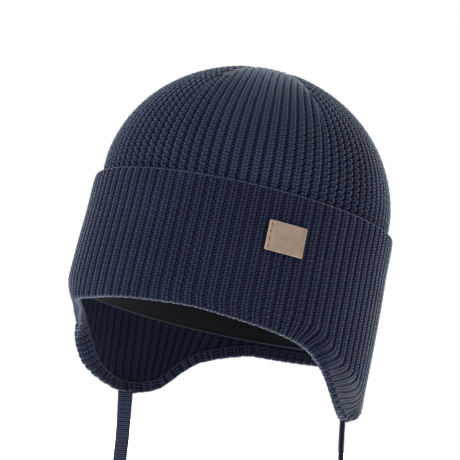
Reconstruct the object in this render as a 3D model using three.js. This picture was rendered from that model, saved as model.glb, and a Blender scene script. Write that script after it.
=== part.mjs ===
// A child's knitted winter hat with ear flaps and ties, in millimetres.
// +Z is up, the front of the hat faces -Y and the wearer's left is +X.
// The hat is a ribbed crown inside a turned-up band that grows into two ear flaps.
// Behind the band are a ribbed facing and a smooth lining, and a flat knitted tie hangs from each flap.

import * as THREE from 'three';

// The band's upper ring and the crown above it
const HALF_WIDTH = 80;
const HALF_LENGTH = 95.5;
const CROWN_HEIGHT = 82.6;
const CROWN_SQUARENESS = 2.1;
const CROWN_ROUNDNESS = { mean: 1.985, frontLoss: 0.125 };
const CROWN_LEAN = 0.5;
const CROWN_BULGE = { inset: 0.6, height: 14 };
const TILT_BACK = THREE.MathUtils.degToRad(13.4);

// The centre of the upper ring, and how far forwards the band's centre moves for each millimetre down
const RING_CENTRE = -1.2;
const BAND_LEAN = 0.043;

// Thickness of each layer of cloth, and the clearance between neighbours
const CROWN_WALL = 2.8;
const BAND_WALL = 2.6;
const FACING_WALL = 2.9;
const LINING_WALL = 1.3;
const CLEARANCE = 0.3;
const FACING_CLEARANCE = 0.45;

// Knitted ribs: one raised and one sunk line each
const RIBS = 90;
const FINE = 2 * RIBS;
const COARSE = RIBS;
const RIB_DEPTH = 0.9;

// Depths below the band's upper ring at which the layers end
const CROWN_SKIRT_END = 56;
const LINING_HEM = 65.3;

// Where the layers have their rings: degrees of rise over the dome, and depths behind the band
const CROWN_RISES = [3, 17, 32, 46, 59, 71];
const CROWN_TOP_RISE = 82;
const INNER_RISES = [3, 24, 46, 66];
const SKIRT_DEPTHS = [4, 30, CROWN_SKIRT_END];
const BAND_DEPTHS = [2, 28, CROWN_SKIRT_END];

// The rolled hem round the band's lower edge
const HEM_HEIGHT = 6.4;
const HEM_ROUND = 2.6;

// Six darts gather the crown, and each one is a shallow valley that starts part of the way up
const DARTS = { count: 6, first: 4, halfWidth: 3.6, sink: 1.6, start: 44, full: 60 };

// The band's lower edge, alike on both sides: its depth at each angle from the middle of the front,
// and how far the cloth above it curls in towards the head
const LOWER_EDGE = [
  { angle: 0, depth: 73, curl: 1 },
  { angle: 24, depth: 72.4, curl: 1 },
  { angle: 41, depth: 74, curl: 2 },
  { angle: 53, depth: 75.4, curl: 3.6 },
  { angle: 62, depth: 76.9, curl: 4.8 },
  { angle: 69, depth: 78.8, curl: 5 },
  { angle: 74, depth: 81.6, curl: 3.6 },
  { angle: 77, depth: 85, curl: 1.2 },
  { angle: 80, depth: 89, curl: -1.5 },
  { angle: 84, depth: 95, curl: -3 },
  { angle: 87.5, depth: 100.2, curl: -3 },
  { angle: 91.5, depth: 104.8, curl: -1.8 },
  { angle: 97, depth: 108.6, curl: 0.6 },
  { angle: 104, depth: 110.6, curl: 3.4 },
  { angle: 110, depth: 110.6, curl: 4.2 },
  { angle: 117, depth: 108, curl: 2.5 },
  { angle: 123, depth: 104.8, curl: 1 },
  { angle: 128, depth: 98.4, curl: 0.5 },
  { angle: 132, depth: 92, curl: 0.4 },
  { angle: 137, depth: 85.4, curl: 0.6 },
  { angle: 144.6, depth: 80, curl: 1 },
  { angle: 150, depth: 77.2, curl: 1 },
  { angle: 159, depth: 74.2, curl: 1 },
  { angle: 180, depth: 74.2, curl: 1 },
];

// The curl reaches this far up from the edge, and is stronger on the wearer's right than on the left
const CURL_REACH = 16;
const CURL_BIAS = 0.35;

// How far the band's face stands out from the upper ring at each depth
const BAND_PROFILE = [
  { depth: 0, out: 3 },
  { depth: 5, out: 3.4 },
  { depth: 20, out: 3.6 },
  { depth: 40, out: 4.4 },
  { depth: 60, out: 4.9 },
  { depth: 80, out: 5.2 },
];

// The label sewn on the band, on the wearer's left
const LABEL = { from: 46.4, to: 60.3, top: 17.4, bottom: 34, wall: 1.1, columns: 6, rows: 2 };

// The ties: a flat knitted cord under the lowest point of each flap
const TIE = { width: 7.8, thickness: 3.3, sides: 8, angle: 108, steps: 6, inset: 3.1 };

// Each tie hangs a little twisted: side is +1 on the wearer's left, flatTo the way its flat width points
const TIES = [
  { name: 'tie_left', side: 1, flatTo: 122 },
  { name: 'tie_right', side: -1, flatTo: 32 },
];

// The route of the wearer's left tie from its root: outwards, backwards and down
const TIE_ROUTE = [
  { out: 0, back: 0, down: 0 },
  { out: 0, back: 0, down: 3.5 },
  { out: 0, back: 0.1, down: 7 },
  { out: 0.1, back: 0.1, down: 10.5 },
  { out: 0.1, back: 0.2, down: 14 },
  { out: 0.2, back: 0.3, down: 17.5 },
  { out: 0.3, back: 0.4, down: 21 },
  { out: 0.4, back: 0.5, down: 24.5 },
  { out: 0.5, back: 0.5, down: 28 },
  { out: 0.6, back: 0.5, down: 31.5 },
  { out: 0.8, back: 0.4, down: 35 },
  { out: 0.9, back: 0.3, down: 38.5 },
  { out: 1, back: 0.2, down: 42 },
  { out: 1.1, back: 0.1, down: 45.5 },
  { out: 1.1, back: 0.1, down: 49 },
  { out: 1.2, back: 0, down: 52 },
];

const CLOTH_ROUGHNESS = 0.95;
const NAVY = 0x272d3f;
const NAVY_SHADE = 0x242a3b;
const NAVY_INSIDE = 0x1b2030;
const LINING_INK = 0x171a23;
const LABEL_TAN = 0x9e8879;

const TURN = 2 * Math.PI;
const rad = THREE.MathUtils.degToRad;

// Smooth curve through the rows of a short table, without overshoot between them
function along(table, key, value, x) {
  const last = table.length - 1;
  if (x <= table[0][key]) return table[0][value];
  if (x >= table[last][key]) return table[last][value];
  const slope = (i) => (table[i + 1][value] - table[i][value]) / (table[i + 1][key] - table[i][key]);
  const tangent = (i) => {
    if (i === 0 || i === last) return 0;
    const before = slope(i - 1);
    const after = slope(i);
    return before * after <= 0 ? 0 : (2 * before * after) / (before + after);
  };
  let i = 0;
  while (table[i + 1][key] < x) i += 1;
  const span = table[i + 1][key] - table[i][key];
  const t = (x - table[i][key]) / span;
  const rise = table[i + 1][value] - table[i][value];
  const startLift = t * (1 - t) * (1 - t) * span * tangent(i);
  const endLift = t * t * (1 - t) * span * tangent(i + 1);
  return table[i][value] + rise * t * t * (3 - 2 * t) + startLift - endLift;
}

// The angle from the front in degrees, 0 to 180, on either side
function sideAngle(phi) {
  const turned = ((phi % TURN) + TURN) % TURN;
  return THREE.MathUtils.radToDeg(Math.min(turned, TURN - turned));
}

const lowerEdge = (phi) => along(LOWER_EDGE, 'angle', 'depth', sideAngle(phi));

// How far the band's face stands outside the upper ring
function bandFace(phi, depth) {
  const share = Math.max(0, 1 - (lowerEdge(phi) - depth) / CURL_REACH);
  const bias = 1 - CURL_BIAS * Math.sin(phi) * (1 + Math.cos(phi));
  const curl = along(LOWER_EDGE, 'angle', 'curl', sideAngle(phi));
  return along(BAND_PROFILE, 'depth', 'out', depth) - curl * bias * share ** 2;
}

// A point beside the upper ring, at an angle from the front, a depth below it and a distance outside it
function bandPoint(phi, depth, out) {
  return new THREE.Vector3(
    (HALF_WIDTH + out) * Math.sin(phi),
    RING_CENTRE - BAND_LEAN * depth - (HALF_LENGTH + out) * Math.cos(phi),
    -depth,
  );
}

// A point of the crown's dome: rise runs from 0 at the upper ring to 90 degrees at the apex
function domePoint(phi, rise, inset) {
  const height = CROWN_HEIGHT - inset;
  const up = height * Math.sin(rise) ** (2 / CROWN_SQUARENESS);
  const roundness = CROWN_ROUNDNESS.mean - CROWN_ROUNDNESS.frontLoss * Math.cos(phi);
  const reach = Math.cos(rise) ** (2 / roundness);
  const neck = CROWN_BULGE.inset * Math.max(0, 1 - up / CROWN_BULGE.height);
  const shift = RING_CENTRE + CROWN_LEAN * (up / height);
  return new THREE.Vector3(
    (HALF_WIDTH - inset - neck) * reach * Math.sin(phi),
    shift - (HALF_LENGTH - inset - neck) * reach * Math.cos(phi),
    up,
  );
}

// How far a dart sinks the dome at this angle and rise
function dartSink(phi, rise) {
  const spacing = TURN / DARTS.count;
  const turned = (((phi - rad(DARTS.first)) % spacing) + spacing) % spacing;
  const away = Math.min(turned, spacing - turned) * HALF_WIDTH * Math.cos(rise);
  const grown = THREE.MathUtils.smoothstep(rise, rad(DARTS.start), rad(DARTS.full));
  return DARTS.sink * grown * Math.max(0, 1 - away / DARTS.halfWidth);
}

// A ring of points, one for each of count equal steps round the hat
function ring(count, pointAt) {
  return Array.from({ length: count }, (_, i) => pointAt((i / count) * TURN, i));
}

const ribSink = (i, depth = RIB_DEPTH) => (i % 2 === 0 ? 0 : depth);

// Triangles between two neighbouring rings, of which one may have twice the points of the other.
// A four-cornered patch is divided along its shorter diagonal.
function stitch(points, indices, a, b) {
  const steps = Math.max(a.count, b.count);
  const at = (run, step) => run.start + (Math.floor((step * run.count) / steps) % run.count);
  for (let i = 0; i < steps; i += 1) {
    const [a0, a1, b0, b1] = [at(a, i), at(a, i + 1), at(b, i), at(b, i + 1)];
    const falling = points[a0].distanceTo(points[b1]) <= points[a1].distanceTo(points[b0]);
    if (a0 === a1 || a.count === 1) indices.push(a0, b0, b1);
    else if (b0 === b1 || b.count === 1) indices.push(a0, b0, a1);
    else if (falling) indices.push(a0, b0, b1, a0, b1, a1);
    else indices.push(a0, b0, a1, b0, b1, a1);
  }
}

// One closed body from rings listed down the outside and back up the inside.
// With a pole at each end the first and last entries are single points, else the last ring joins the first.
function shell(rings) {
  const points = [];
  const runs = rings.map((entry) => {
    const list = Array.isArray(entry) ? entry : [entry];
    const run = { start: points.length, count: list.length };
    points.push(...list);
    return run;
  });
  const indices = [];
  runs.slice(1).forEach((run, i) => stitch(points, indices, runs[i], run));
  if (runs[0].count > 1) stitch(points, indices, runs[runs.length - 1], runs[0]);
  const geometry = new THREE.BufferGeometry().setFromPoints(points);
  geometry.setIndex(indices);
  geometry.computeVertexNormals();
  return geometry;
}

function cloth(color) {
  return new THREE.MeshStandardMaterial({
    color, roughness: CLOTH_ROUGHNESS, metalness: 0, flatShading: true,
  });
}

function piece(name, geometry, material) {
  const mesh = new THREE.Mesh(geometry, material);
  mesh.name = name;
  return mesh;
}

// The depth a share of the way down the facing, which ends above the rolled hem.
// It runs straight between the coarse rings' points, as the hem's own edge does.
function facingDepth(share) {
  const top = CROWN_SKIRT_END + CLEARANCE;
  const step = TURN / COARSE;
  return (phi) => {
    const before = Math.floor(phi / step + 0.25) * step;
    const edge = THREE.MathUtils.lerp(
      lowerEdge(before), lowerEdge(before + step), (phi - before) / step,
    );
    return top + share * (edge - HEM_HEIGHT - CLEARANCE - top);
  };
}

// Crown: a ribbed dome, gathered by six darts, with a skirt that hides behind the band
function crownGeometry() {
  const skirtOut = (phi, depth) => bandFace(phi, depth) - BAND_WALL - CLEARANCE;
  const skirt = (count, depth, inset) => ring(count, (phi) => (
    bandPoint(phi, depth, skirtOut(phi, depth) - inset)));
  const outside = (count, degrees, ribDepth) => ring(count, (phi, i) => {
    const rise = rad(degrees);
    return domePoint(phi, rise, Math.max(ribSink(i, ribDepth), dartSink(phi, rise)));
  });
  const inside = (degrees) => ring(COARSE, (phi) => domePoint(phi, rad(degrees), CROWN_WALL));
  return shell([
    domePoint(0, rad(90), 0),
    outside(COARSE, CROWN_TOP_RISE, 0),
    ...CROWN_RISES.toReversed().map((rise) => outside(FINE, rise, RIB_DEPTH)),
    ...SKIRT_DEPTHS.map((depth) => skirt(COARSE, depth, 0)),
    ...SKIRT_DEPTHS.toReversed().map((depth) => skirt(COARSE, depth, CROWN_WALL)),
    ...INNER_RISES.map(inside),
    domePoint(0, rad(90), CROWN_WALL),
  ]);
}

// Band: one turned-up wall from a rounded fold at the top to a rolled hem round its lower edge
function bandGeometry() {
  const fold = BAND_WALL / 2;
  const slant = Math.SQRT1_2;
  const hemTop = (phi) => facingDepth(1)(phi) + CLEARANCE;
  const hemWall = BAND_WALL + CLEARANCE + FACING_WALL;
  const face = (depthAt, inset) => ring(FINE, (phi, i) => {
    const depth = depthAt(phi);
    return bandPoint(phi, depth, bandFace(phi, depth) - inset - ribSink(i));
  });
  const back = (depthAt, inset) => ring(COARSE, (phi) => {
    const depth = depthAt(phi);
    return bandPoint(phi, depth, bandFace(phi, depth) - inset);
  });
  const lowerPart = (share) => (phi) => {
    const from = CROWN_SKIRT_END;
    return from + share * (lowerEdge(phi) - HEM_ROUND - from);
  };
  const edgeLess = (rise) => (phi) => lowerEdge(phi) - rise;
  const edge = ring(FINE, (phi, i) => {
    const depth = lowerEdge(phi) - ribSink(i);
    return bandPoint(phi, depth, bandFace(phi, depth) - hemWall / 2);
  });
  return shell([
    face(() => 0, fold),
    face(() => fold * (1 - slant), fold * (1 - slant)),
    ...BAND_DEPTHS.map((depth) => face(() => depth, 0)),
    face(lowerPart(0.5), 0),
    face(lowerPart(1), 0),
    face(edgeLess(HEM_ROUND * (1 - slant)), HEM_ROUND * (1 - slant)),
    edge,
    back(edgeLess(HEM_ROUND), hemWall),
    back(hemTop, hemWall),
    back(hemTop, BAND_WALL),
    back(facingDepth(0.5), BAND_WALL),
    back(() => CROWN_SKIRT_END, BAND_WALL),
    back(() => fold * 2, BAND_WALL),
    back(() => fold, BAND_WALL),
  ]);
}

// Facing: the ribbed inner side of the band, between the crown's skirt and the rolled hem
function facingGeometry() {
  const outerInset = BAND_WALL + FACING_CLEARANCE;
  const side = (count, share, inset, ribDepth) => ring(count, (phi, i) => {
    const depth = facingDepth(share)(phi);
    return bandPoint(phi, depth, bandFace(phi, depth) - inset + ribSink(i, ribDepth));
  });
  return shell([
    side(COARSE, 0, outerInset, 0),
    side(COARSE, 0.5, outerInset, 0),
    side(COARSE, 1, outerInset, 0),
    side(FINE, 1, outerInset + FACING_WALL, RIB_DEPTH),
    side(FINE, 0.5, outerInset + FACING_WALL, RIB_DEPTH),
    side(FINE, 0, outerInset + FACING_WALL, RIB_DEPTH),
  ]);
}

// Lining: a thin smooth cap inside the crown, hemmed over the top of the facing
function liningGeometry() {
  const count = COARSE / 2;
  const bandInset = BAND_WALL + FACING_CLEARANCE + FACING_WALL + CLEARANCE;
  const band = (depth, inset) => ring(count, (phi) => (
    bandPoint(phi, depth, bandFace(phi, depth) - bandInset - inset)));
  const dome = (degrees, inset) => ring(count, (phi) => (
    domePoint(phi, rad(degrees), CROWN_WALL + CLEARANCE + inset)));
  const depths = [...SKIRT_DEPTHS, LINING_HEM];
  const apexInset = CROWN_WALL + CLEARANCE;
  return shell([
    domePoint(0, rad(90), apexInset),
    ...INNER_RISES.toReversed().map((rise) => dome(rise, 0)),
    ...depths.map((depth) => band(depth, 0)),
    ...depths.toReversed().map((depth) => band(depth, LINING_WALL)),
    ...INNER_RISES.map((rise) => dome(rise, LINING_WALL)),
    domePoint(0, rad(90), apexInset + LINING_WALL),
  ]);
}

// Label: a small bent plate that lies on the ribs
function labelGeometry() {
  const { columns, rows, from, to, top, bottom, wall } = LABEL;
  const point = (column, row, lift) => {
    const depth = top + ((bottom - top) * row) / rows;
    const phi = rad(from + ((to - from) * column) / columns);
    return bandPoint(phi, depth, bandFace(phi, depth) + CLEARANCE + lift);
  };
  const loop = (column) => [
    ...Array.from({ length: rows + 1 }, (_, row) => point(column, row, wall)),
    ...Array.from({ length: rows + 1 }, (_, row) => point(column, rows - row, 0)),
  ];
  const points = Array.from({ length: columns + 1 }, (_, column) => loop(column)).flat();
  const size = 2 * (rows + 1);
  const indices = [];
  for (let column = 0; column < columns; column += 1) {
    for (let i = 0; i < size; i += 1) {
      const near = column * size;
      const far = near + size;
      const next = (i + 1) % size;
      indices.push(near + i, near + next, far + next, near + i, far + next, far + i);
    }
  }
  const cap = (start, flip) => {
    for (let row = 0; row < rows; row += 1) {
      const a = start + row;
      const b = start + row + 1;
      const c = start + size - 2 - row;
      const d = start + size - 1 - row;
      if (flip) indices.push(a, c, b, a, d, c);
      else indices.push(a, b, c, a, c, d);
    }
  };
  cap(0, true);
  cap(columns * size, false);
  const geometry = new THREE.BufferGeometry().setFromPoints(points);
  geometry.setIndex(indices);
  geometry.computeVertexNormals();
  return geometry;
}

// Tie: a flat cord that leaves the flap's lowest point straight down
function tieGeometry(root, side, flatTo) {
  const route = new THREE.CatmullRomCurve3(TIE_ROUTE.map(({ out, back, down }) => (
    new THREE.Vector3(root.x + side * out, root.y + back, root.z - down))));
  const frames = route.computeFrenetFrames(TIE.steps, false);
  const flat = new THREE.Vector3(Math.cos(rad(flatTo)), Math.sin(rad(flatTo)), 0);
  const turn = Math.atan2(flat.dot(frames.binormals[0]), flat.dot(frames.normals[0]));
  const halfSide = TURN / TIE.sides / 2;
  const section = new THREE.Shape(Array.from({ length: TIE.sides }, (_, i) => {
    const angle = (2 * i + 1) * halfSide;
    const wide = (TIE.width / 2) * (Math.cos(angle) / Math.cos(halfSide));
    const thick = (TIE.thickness / 2) * (Math.sin(angle) / Math.cos(halfSide));
    return new THREE.Vector2(wide, thick).rotateAround(new THREE.Vector2(), turn);
  }));
  return new THREE.ExtrudeGeometry(section, { steps: TIE.steps, extrudePath: route });
}

// The head touches the lining's apex first, and that point is the origin
const apex = domePoint(0, rad(90), CROWN_WALL + CLEARANCE + LINING_WALL);
const tilt = new THREE.Matrix4().makeRotationX(-TILT_BACK);
const seat = apex.clone().applyMatrix4(tilt).negate();

const hat = new THREE.Group();
const tipped = new THREE.Group();
tipped.rotation.x = -TILT_BACK;
tipped.position.copy(seat);
tipped.add(
  piece('crown', crownGeometry(), cloth(NAVY)),
  piece('brim', bandGeometry(), cloth(NAVY_SHADE)),
  piece('facing', facingGeometry(), cloth(NAVY_INSIDE)),
  piece('lining', liningGeometry(), cloth(LINING_INK)),
  piece('label', labelGeometry(), cloth(LABEL_TAN)),
);
hat.add(tipped);

for (const { name, side, flatTo } of TIES) {
  const phi = side * rad(TIE.angle);
  const depth = lowerEdge(phi) + CLEARANCE;
  const root = bandPoint(phi, depth, bandFace(phi, depth) - TIE.inset).applyMatrix4(tilt).add(seat);
  hat.add(piece(name, tieGeometry(root, side, flatTo), cloth(NAVY)));
}

export default hat;
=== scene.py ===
"""A child's navy wool hat in rib knit: crown, turned-up band with ear flaps, facing, lining, label and ties.

Shapes are worked out in millimetres in the hat's own frame, with the upper ring of the band level, and then
tipped back and moved to the row frame. Angles run from 0 at the front towards the wearer's left.
"""
import sys

import logging
import math
from dataclasses import dataclass, field
from enum import Enum

import bpy
import numpy as np
from mathutils import Matrix, Vector


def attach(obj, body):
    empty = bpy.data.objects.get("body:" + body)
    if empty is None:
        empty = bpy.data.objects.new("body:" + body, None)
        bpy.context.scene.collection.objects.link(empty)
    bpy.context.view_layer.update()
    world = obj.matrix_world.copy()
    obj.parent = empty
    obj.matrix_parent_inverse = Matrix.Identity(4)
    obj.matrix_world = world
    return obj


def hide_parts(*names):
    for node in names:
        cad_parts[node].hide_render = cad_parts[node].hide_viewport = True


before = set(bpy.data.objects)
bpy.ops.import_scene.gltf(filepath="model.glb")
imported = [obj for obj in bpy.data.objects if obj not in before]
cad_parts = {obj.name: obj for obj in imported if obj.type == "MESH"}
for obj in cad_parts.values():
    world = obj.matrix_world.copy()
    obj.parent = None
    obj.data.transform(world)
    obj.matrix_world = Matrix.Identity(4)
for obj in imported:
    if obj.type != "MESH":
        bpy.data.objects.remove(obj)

log = logging.getLogger("hat")
MM = 0.001
TURN = 2 * math.pi
PHOTO_SIZE = 460

# Depth of the band's lower edge and how far the cloth above it curls in, at each angle from the front
EDGE_ANGLE = (0, 24, 41, 53, 62, 69, 74, 77, 80, 84, 87.5, 91.5, 97, 104, 110, 117, 123, 128, 132, 137,
              144.6, 150, 159, 180)
EDGE_DEPTH = (73, 72.4, 74, 75.4, 76.9, 78.8, 81.6, 85, 89, 95, 100.2, 104.8, 108.6, 110.6, 110.6, 108,
              104.8, 98.4, 92, 85.4, 80, 77.2, 74.2, 74.2)
EDGE_CURL = (1, 1, 2, 3.6, 4.8, 5, 3.6, 1.2, -1.5, -3, -3, -1.8, 0.6, 3.4, 4.2, 1.6, -0.2, -1, -0.6, 0.3,
             1, 1, 1, 1)
# The wearer's right flap stands out a little more at its front
RIGHT_CURL = (1, 1, 3.2, 5, 4.2, 2.1, 0.9, -0.6, -2.2, -3, -3, -1.8, 0.6, 3.4, 4.2, 2.5, 1, 0.5, 0.4, 0.6,
              1, 1, 1, 1)

# Where the lower edge hangs lower on one side only: angle from the front, reach to either side and depth
RIGHT_SAG = ((24, 15, 2.6), (104, 8, 1.5), (118, 10, 1.6))
LEFT_SAG = ((130, 5, 1.2),)

# How far the band's face stands out from the upper ring at each depth
PROFILE_DEPTH = (0, 5, 20, 40, 60, 80)
PROFILE_OUT = (3, 3.4, 3.6, 4.4, 4.9, 5.2)

# The outer ribs of a flap turn forwards to its front edge: where each rib meets the edge, the depth at
# which it turns and how long the turn is
TURN_RIB = (58, 64, 68, 72, 76, 79, 83, 87, 91, 95, 100, 105, 110, 115, 120, 125, 130, 135, 140, 146, 152)
TURN_EDGE = (58, 63, 65.8, 68.3, 71, 73.2, 76.2, 78.8, 81, 82.8, 84.8, 87, 89.8, 93.2, 98, 104.8,
             114, 124.5, 134.5, 144.3, 152)
TURN_DEPTH = (68, 68, 68, 68.6, 70.4, 72.6, 77.2, 80.6, 83.6, 85.6, 88, 92, 95.5, 98, 98.8, 96.5,
              90, 82, 76, 70, 66)
TURN_LENGTH = (4, 3, 2.6, 2.4, 2.2, 2.2, 2.4, 2.6, 3, 3, 4, 5, 7, 9, 11, 12, 13, 12, 11, 9, 8)

# The inner ribs of a flap fan out at the back: where each rib meets the edge
FAN_RIB = (-60, 0, 60, 75, 85, 98, 110, 120, 130, 140, 150, 160, 180, 200)
FAN_EDGE = (-60, 0, 60, 78, 89, 102, 113, 120.5, 127.5, 136.5, 147.5, 159, 180, 201)

# One rib of the knit, from the middle of a raised line to the next one: place across the rib, height of the
# cloth, how far the yarn droops, how much a half stitch rises, how much every second stitch rises over the
# one between, and how far the yarn sways to the side
RIB_ACROSS = (0.0, 0.15, 0.28, 0.4, 0.6, 0.72, 0.85)
RIB_HEIGHT = (-0.4, 0.0, -0.2, -0.84, -0.84, -0.2, 0.0)
RIB_DROOP = (0.42, 0.1, -0.42, -0.1, -0.1, -0.42, 0.1)
RIB_BEAD = (0.06, 0.1, 0.12, 0.14, 0.14, 0.12, 0.1)
RIB_PAIR = (0.14, 0.24, 0.38, 0.38, 0.38, 0.38, 0.24)
RIB_SWAY = (0.0, 0.04, 0.05, 0.18, 0.18, 0.05, 0.04)
# Below this height a column is part of the sunk ladder between two ribs
LADDER_HEIGHT = -0.5

# Points nearer than this are merged, and faces thinner than this are taken out, in metres
MERGE_DISTANCE = 0.000002
LEAST_THICKNESS = 0.0000005
# The levels between which nearly all of a noise lies
NOISE_RANGE = (0.3, 0.7)

# The left tie's route from its root: outwards, backwards and down
ROUTE_OUT = (0, 0, 0, 0.1, 0.1, 0.2, 0.3, 0.4, 0.5, 0.6, 0.8, 0.9, 1.0, 1.1, 1.1, 1.2)
ROUTE_BACK = (0, 0, 0.1, 0.1, 0.2, 0.3, 0.4, 0.5, 0.5, 0.5, 0.4, 0.3, 0.2, 0.1, 0.1, 0)
ROUTE_DOWN = (0, 3.5, 7, 10.5, 14, 17.5, 21, 24.5, 28, 31.5, 35, 38.5, 42, 45.5, 49, 52)


class Side(Enum):
    """The wearer's left or right."""

    LEFT = 1
    RIGHT = -1


def smooth_curve(xs: tuple, ys: tuple, x: np.ndarray) -> np.ndarray:
    """A curve through the rows of a short table, without overshoot between them.

    Args:
        xs: the places of the rows, in rising order.
        ys: the value at each place.
        x: where the curve is read.

    Returns:
        The value at each x, level outside the table.
    """
    px, py = np.array(xs, float), np.array(ys, float)
    slope = np.diff(py) / np.diff(px)
    before, after = slope[:-1], slope[1:]
    same = before * after > 0
    tangent = np.zeros(len(px))
    tangent[1:-1][same] = (2 * before * after)[same] / (before + after)[same]
    x = np.clip(x, px[0], px[-1])
    i = np.clip(np.searchsorted(px, x, side="left") - 1, 0, len(px) - 2)
    span = px[i + 1] - px[i]
    t = (x - px[i]) / span
    rise = py[i + 1] - py[i]
    lift = t * (1 - t) ** 2 * span * tangent[i]
    drop = t**2 * (1 - t) * span * tangent[i + 1]
    return py[i] + rise * t**2 * (3 - 2 * t) + lift - drop


def smooth_step(low: float, high: float, x: np.ndarray) -> np.ndarray:
    """Rises smoothly from 0 at low to 1 at high."""
    t = np.clip((x - low) / (high - low), 0, 1)
    return t * t * (3 - 2 * t)


@dataclass(frozen=True)
class HatShape:
    """The form that all the layers share, in millimetres."""

    half_width: float = 80
    half_length: float = 95.5
    crown_height: float = 82.6
    squareness: float = 2.1
    roundness: float = 1.985
    front_roundness_loss: float = 0.125
    crown_lean: float = 0.5
    bulge_inset: float = 0.6
    bulge_height: float = 14
    tilt_back: float = math.radians(13.4)
    ring_centre: float = -1.2
    band_lean: float = 0.043
    curl_reach: float = 16
    curl_bias: float = 0.35
    crown_wall: float = 2.8
    band_wall: float = 2.6
    facing_wall: float = 2.9
    lining_wall: float = 1.3
    clearance: float = 0.3
    facing_clearance: float = 0.45
    slope_step: float = math.radians(0.4)

    def side_angle(self, phi: np.ndarray) -> np.ndarray:
        """The angle from the front in degrees, 0 to 180, on either side."""
        turned = np.mod(phi, TURN)
        return np.degrees(np.minimum(turned, TURN - turned))

    def is_right(self, phi: np.ndarray) -> np.ndarray:
        """Whether an angle lies on the wearer's right."""
        return np.mod(phi, TURN) > math.pi

    def even_edge(self, phi: np.ndarray) -> np.ndarray:
        """Depth of the band's lower edge, alike on both sides."""
        return smooth_curve(EDGE_ANGLE, EDGE_DEPTH, self.side_angle(phi))

    def lower_edge(self, phi: np.ndarray) -> np.ndarray:
        """Depth of the band's lower edge, with what hangs lower on one side only.

        Args:
            phi: the angle of each point.

        Returns:
            The depth below the upper ring in millimetres.
        """
        angle, right = self.side_angle(phi), self.is_right(phi)
        edge = self.even_edge(phi)
        for sags, here in ((RIGHT_SAG, right), (LEFT_SAG, ~right)):
            for middle, reach, depth in sags:
                edge = edge + depth * np.exp(-(((angle - middle) / reach) ** 2)) * here
        return edge

    def band_face(self, phi: np.ndarray, depth: np.ndarray) -> np.ndarray:
        """How far the band's face stands outside the upper ring.

        Args:
            phi: the angle of each point.
            depth: how far below the ring it is.

        Returns:
            The distance in millimetres, less where the cloth curls in above the edge.
        """
        share = np.maximum(0, 1 - (self.lower_edge(phi) - depth) / self.curl_reach)
        bias = 1 - self.curl_bias * np.sin(phi) * (1 + np.cos(phi))
        angle = self.side_angle(phi)
        left, right = (smooth_curve(EDGE_ANGLE, table, angle) for table in (EDGE_CURL, RIGHT_CURL))
        curl = np.where(self.is_right(phi), right, left)
        return smooth_curve(PROFILE_DEPTH, PROFILE_OUT, depth) - curl * bias * share**2

    def band_point(self, phi: np.ndarray, depth: np.ndarray, out: np.ndarray) -> np.ndarray:
        """A point of the band, the hem or the layers behind them.

        Args:
            phi: the angle of the point.
            depth: how far it is below the upper ring.
            out: how far it is outside the ring.

        Returns:
            The point in the hat's own frame.
        """
        x = (self.half_width + out) * np.sin(phi)
        y = self.ring_centre - self.band_lean * depth - (self.half_length + out) * np.cos(phi)
        return np.stack([x, y, -depth + 0 * out], -1)

    def dome_point(self, phi: np.ndarray, rise: np.ndarray, inset: np.ndarray) -> np.ndarray:
        """A point of the crown.

        Args:
            phi: the angle of the point.
            rise: from 0 at the upper ring to a quarter turn at the apex.
            inset: how far inside the crown's face it lies.

        Returns:
            The point in the hat's own frame.
        """
        height = self.crown_height - inset
        up = height * np.sin(rise) ** (2 / self.squareness)
        roundness = self.roundness - self.front_roundness_loss * np.cos(phi)
        reach = np.maximum(np.cos(rise), 0) ** (2 / roundness)
        neck = self.bulge_inset * np.maximum(0, 1 - up / self.bulge_height)
        shift = self.ring_centre + self.crown_lean * up / height
        x = (self.half_width - inset - neck) * reach * np.sin(phi)
        y = shift - (self.half_length - inset - neck) * reach * np.cos(phi)
        return np.stack([x, y, up + 0 * x], -1)

    def edge_slope(self, phi: np.ndarray) -> np.ndarray:
        """The angle in radians that the lower edge makes with the level, down to the left."""
        step = self.slope_step
        fall = self.lower_edge(phi + step) - self.lower_edge(phi - step)
        return np.arctan2(fall, 2 * step * self.ring_radius(phi))

    def ring_radius(self, phi: np.ndarray) -> np.ndarray:
        """Millimetres along the ring for each radian of angle."""
        return np.hypot(self.half_width * np.cos(phi), self.half_length * np.sin(phi))

    def from_edge(self, phi: np.ndarray, inwards: np.ndarray) -> tuple[np.ndarray, np.ndarray]:
        """The angle and depth of a point that lies inwards from the lower edge, square to it.

        Args:
            phi: the angle at which the edge is met.
            inwards: how far from the edge, within the cloth.

        Returns:
            The point's angle and its depth.
        """
        slope = self.edge_slope(phi)
        angle = phi + inwards * np.sin(slope) / self.ring_radius(phi)
        return angle, self.lower_edge(phi) - inwards * np.cos(slope)

    def seat(self) -> np.ndarray:
        """Where the upper ring's centre comes to lie once the lining's apex is the origin."""
        inset = self.crown_wall + self.clearance + self.lining_wall
        apex = self.dome_point(np.array(0.0), np.array(math.pi / 2), np.array(inset))
        return -self.tipped(apex)

    def tipped(self, points: np.ndarray) -> np.ndarray:
        """Points of the hat's own frame, tipped back."""
        c, s = math.cos(self.tilt_back), math.sin(self.tilt_back)
        x, y, z = points[..., 0], points[..., 1], points[..., 2]
        return np.stack([x, c * y + s * z, c * z - s * y], -1)

    def to_row(self, points: np.ndarray) -> np.ndarray:
        """Points of the hat's own frame, in the row frame and in metres."""
        return (self.tipped(points) + self.seat()) * MM


SHAPE = HatShape()


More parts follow.
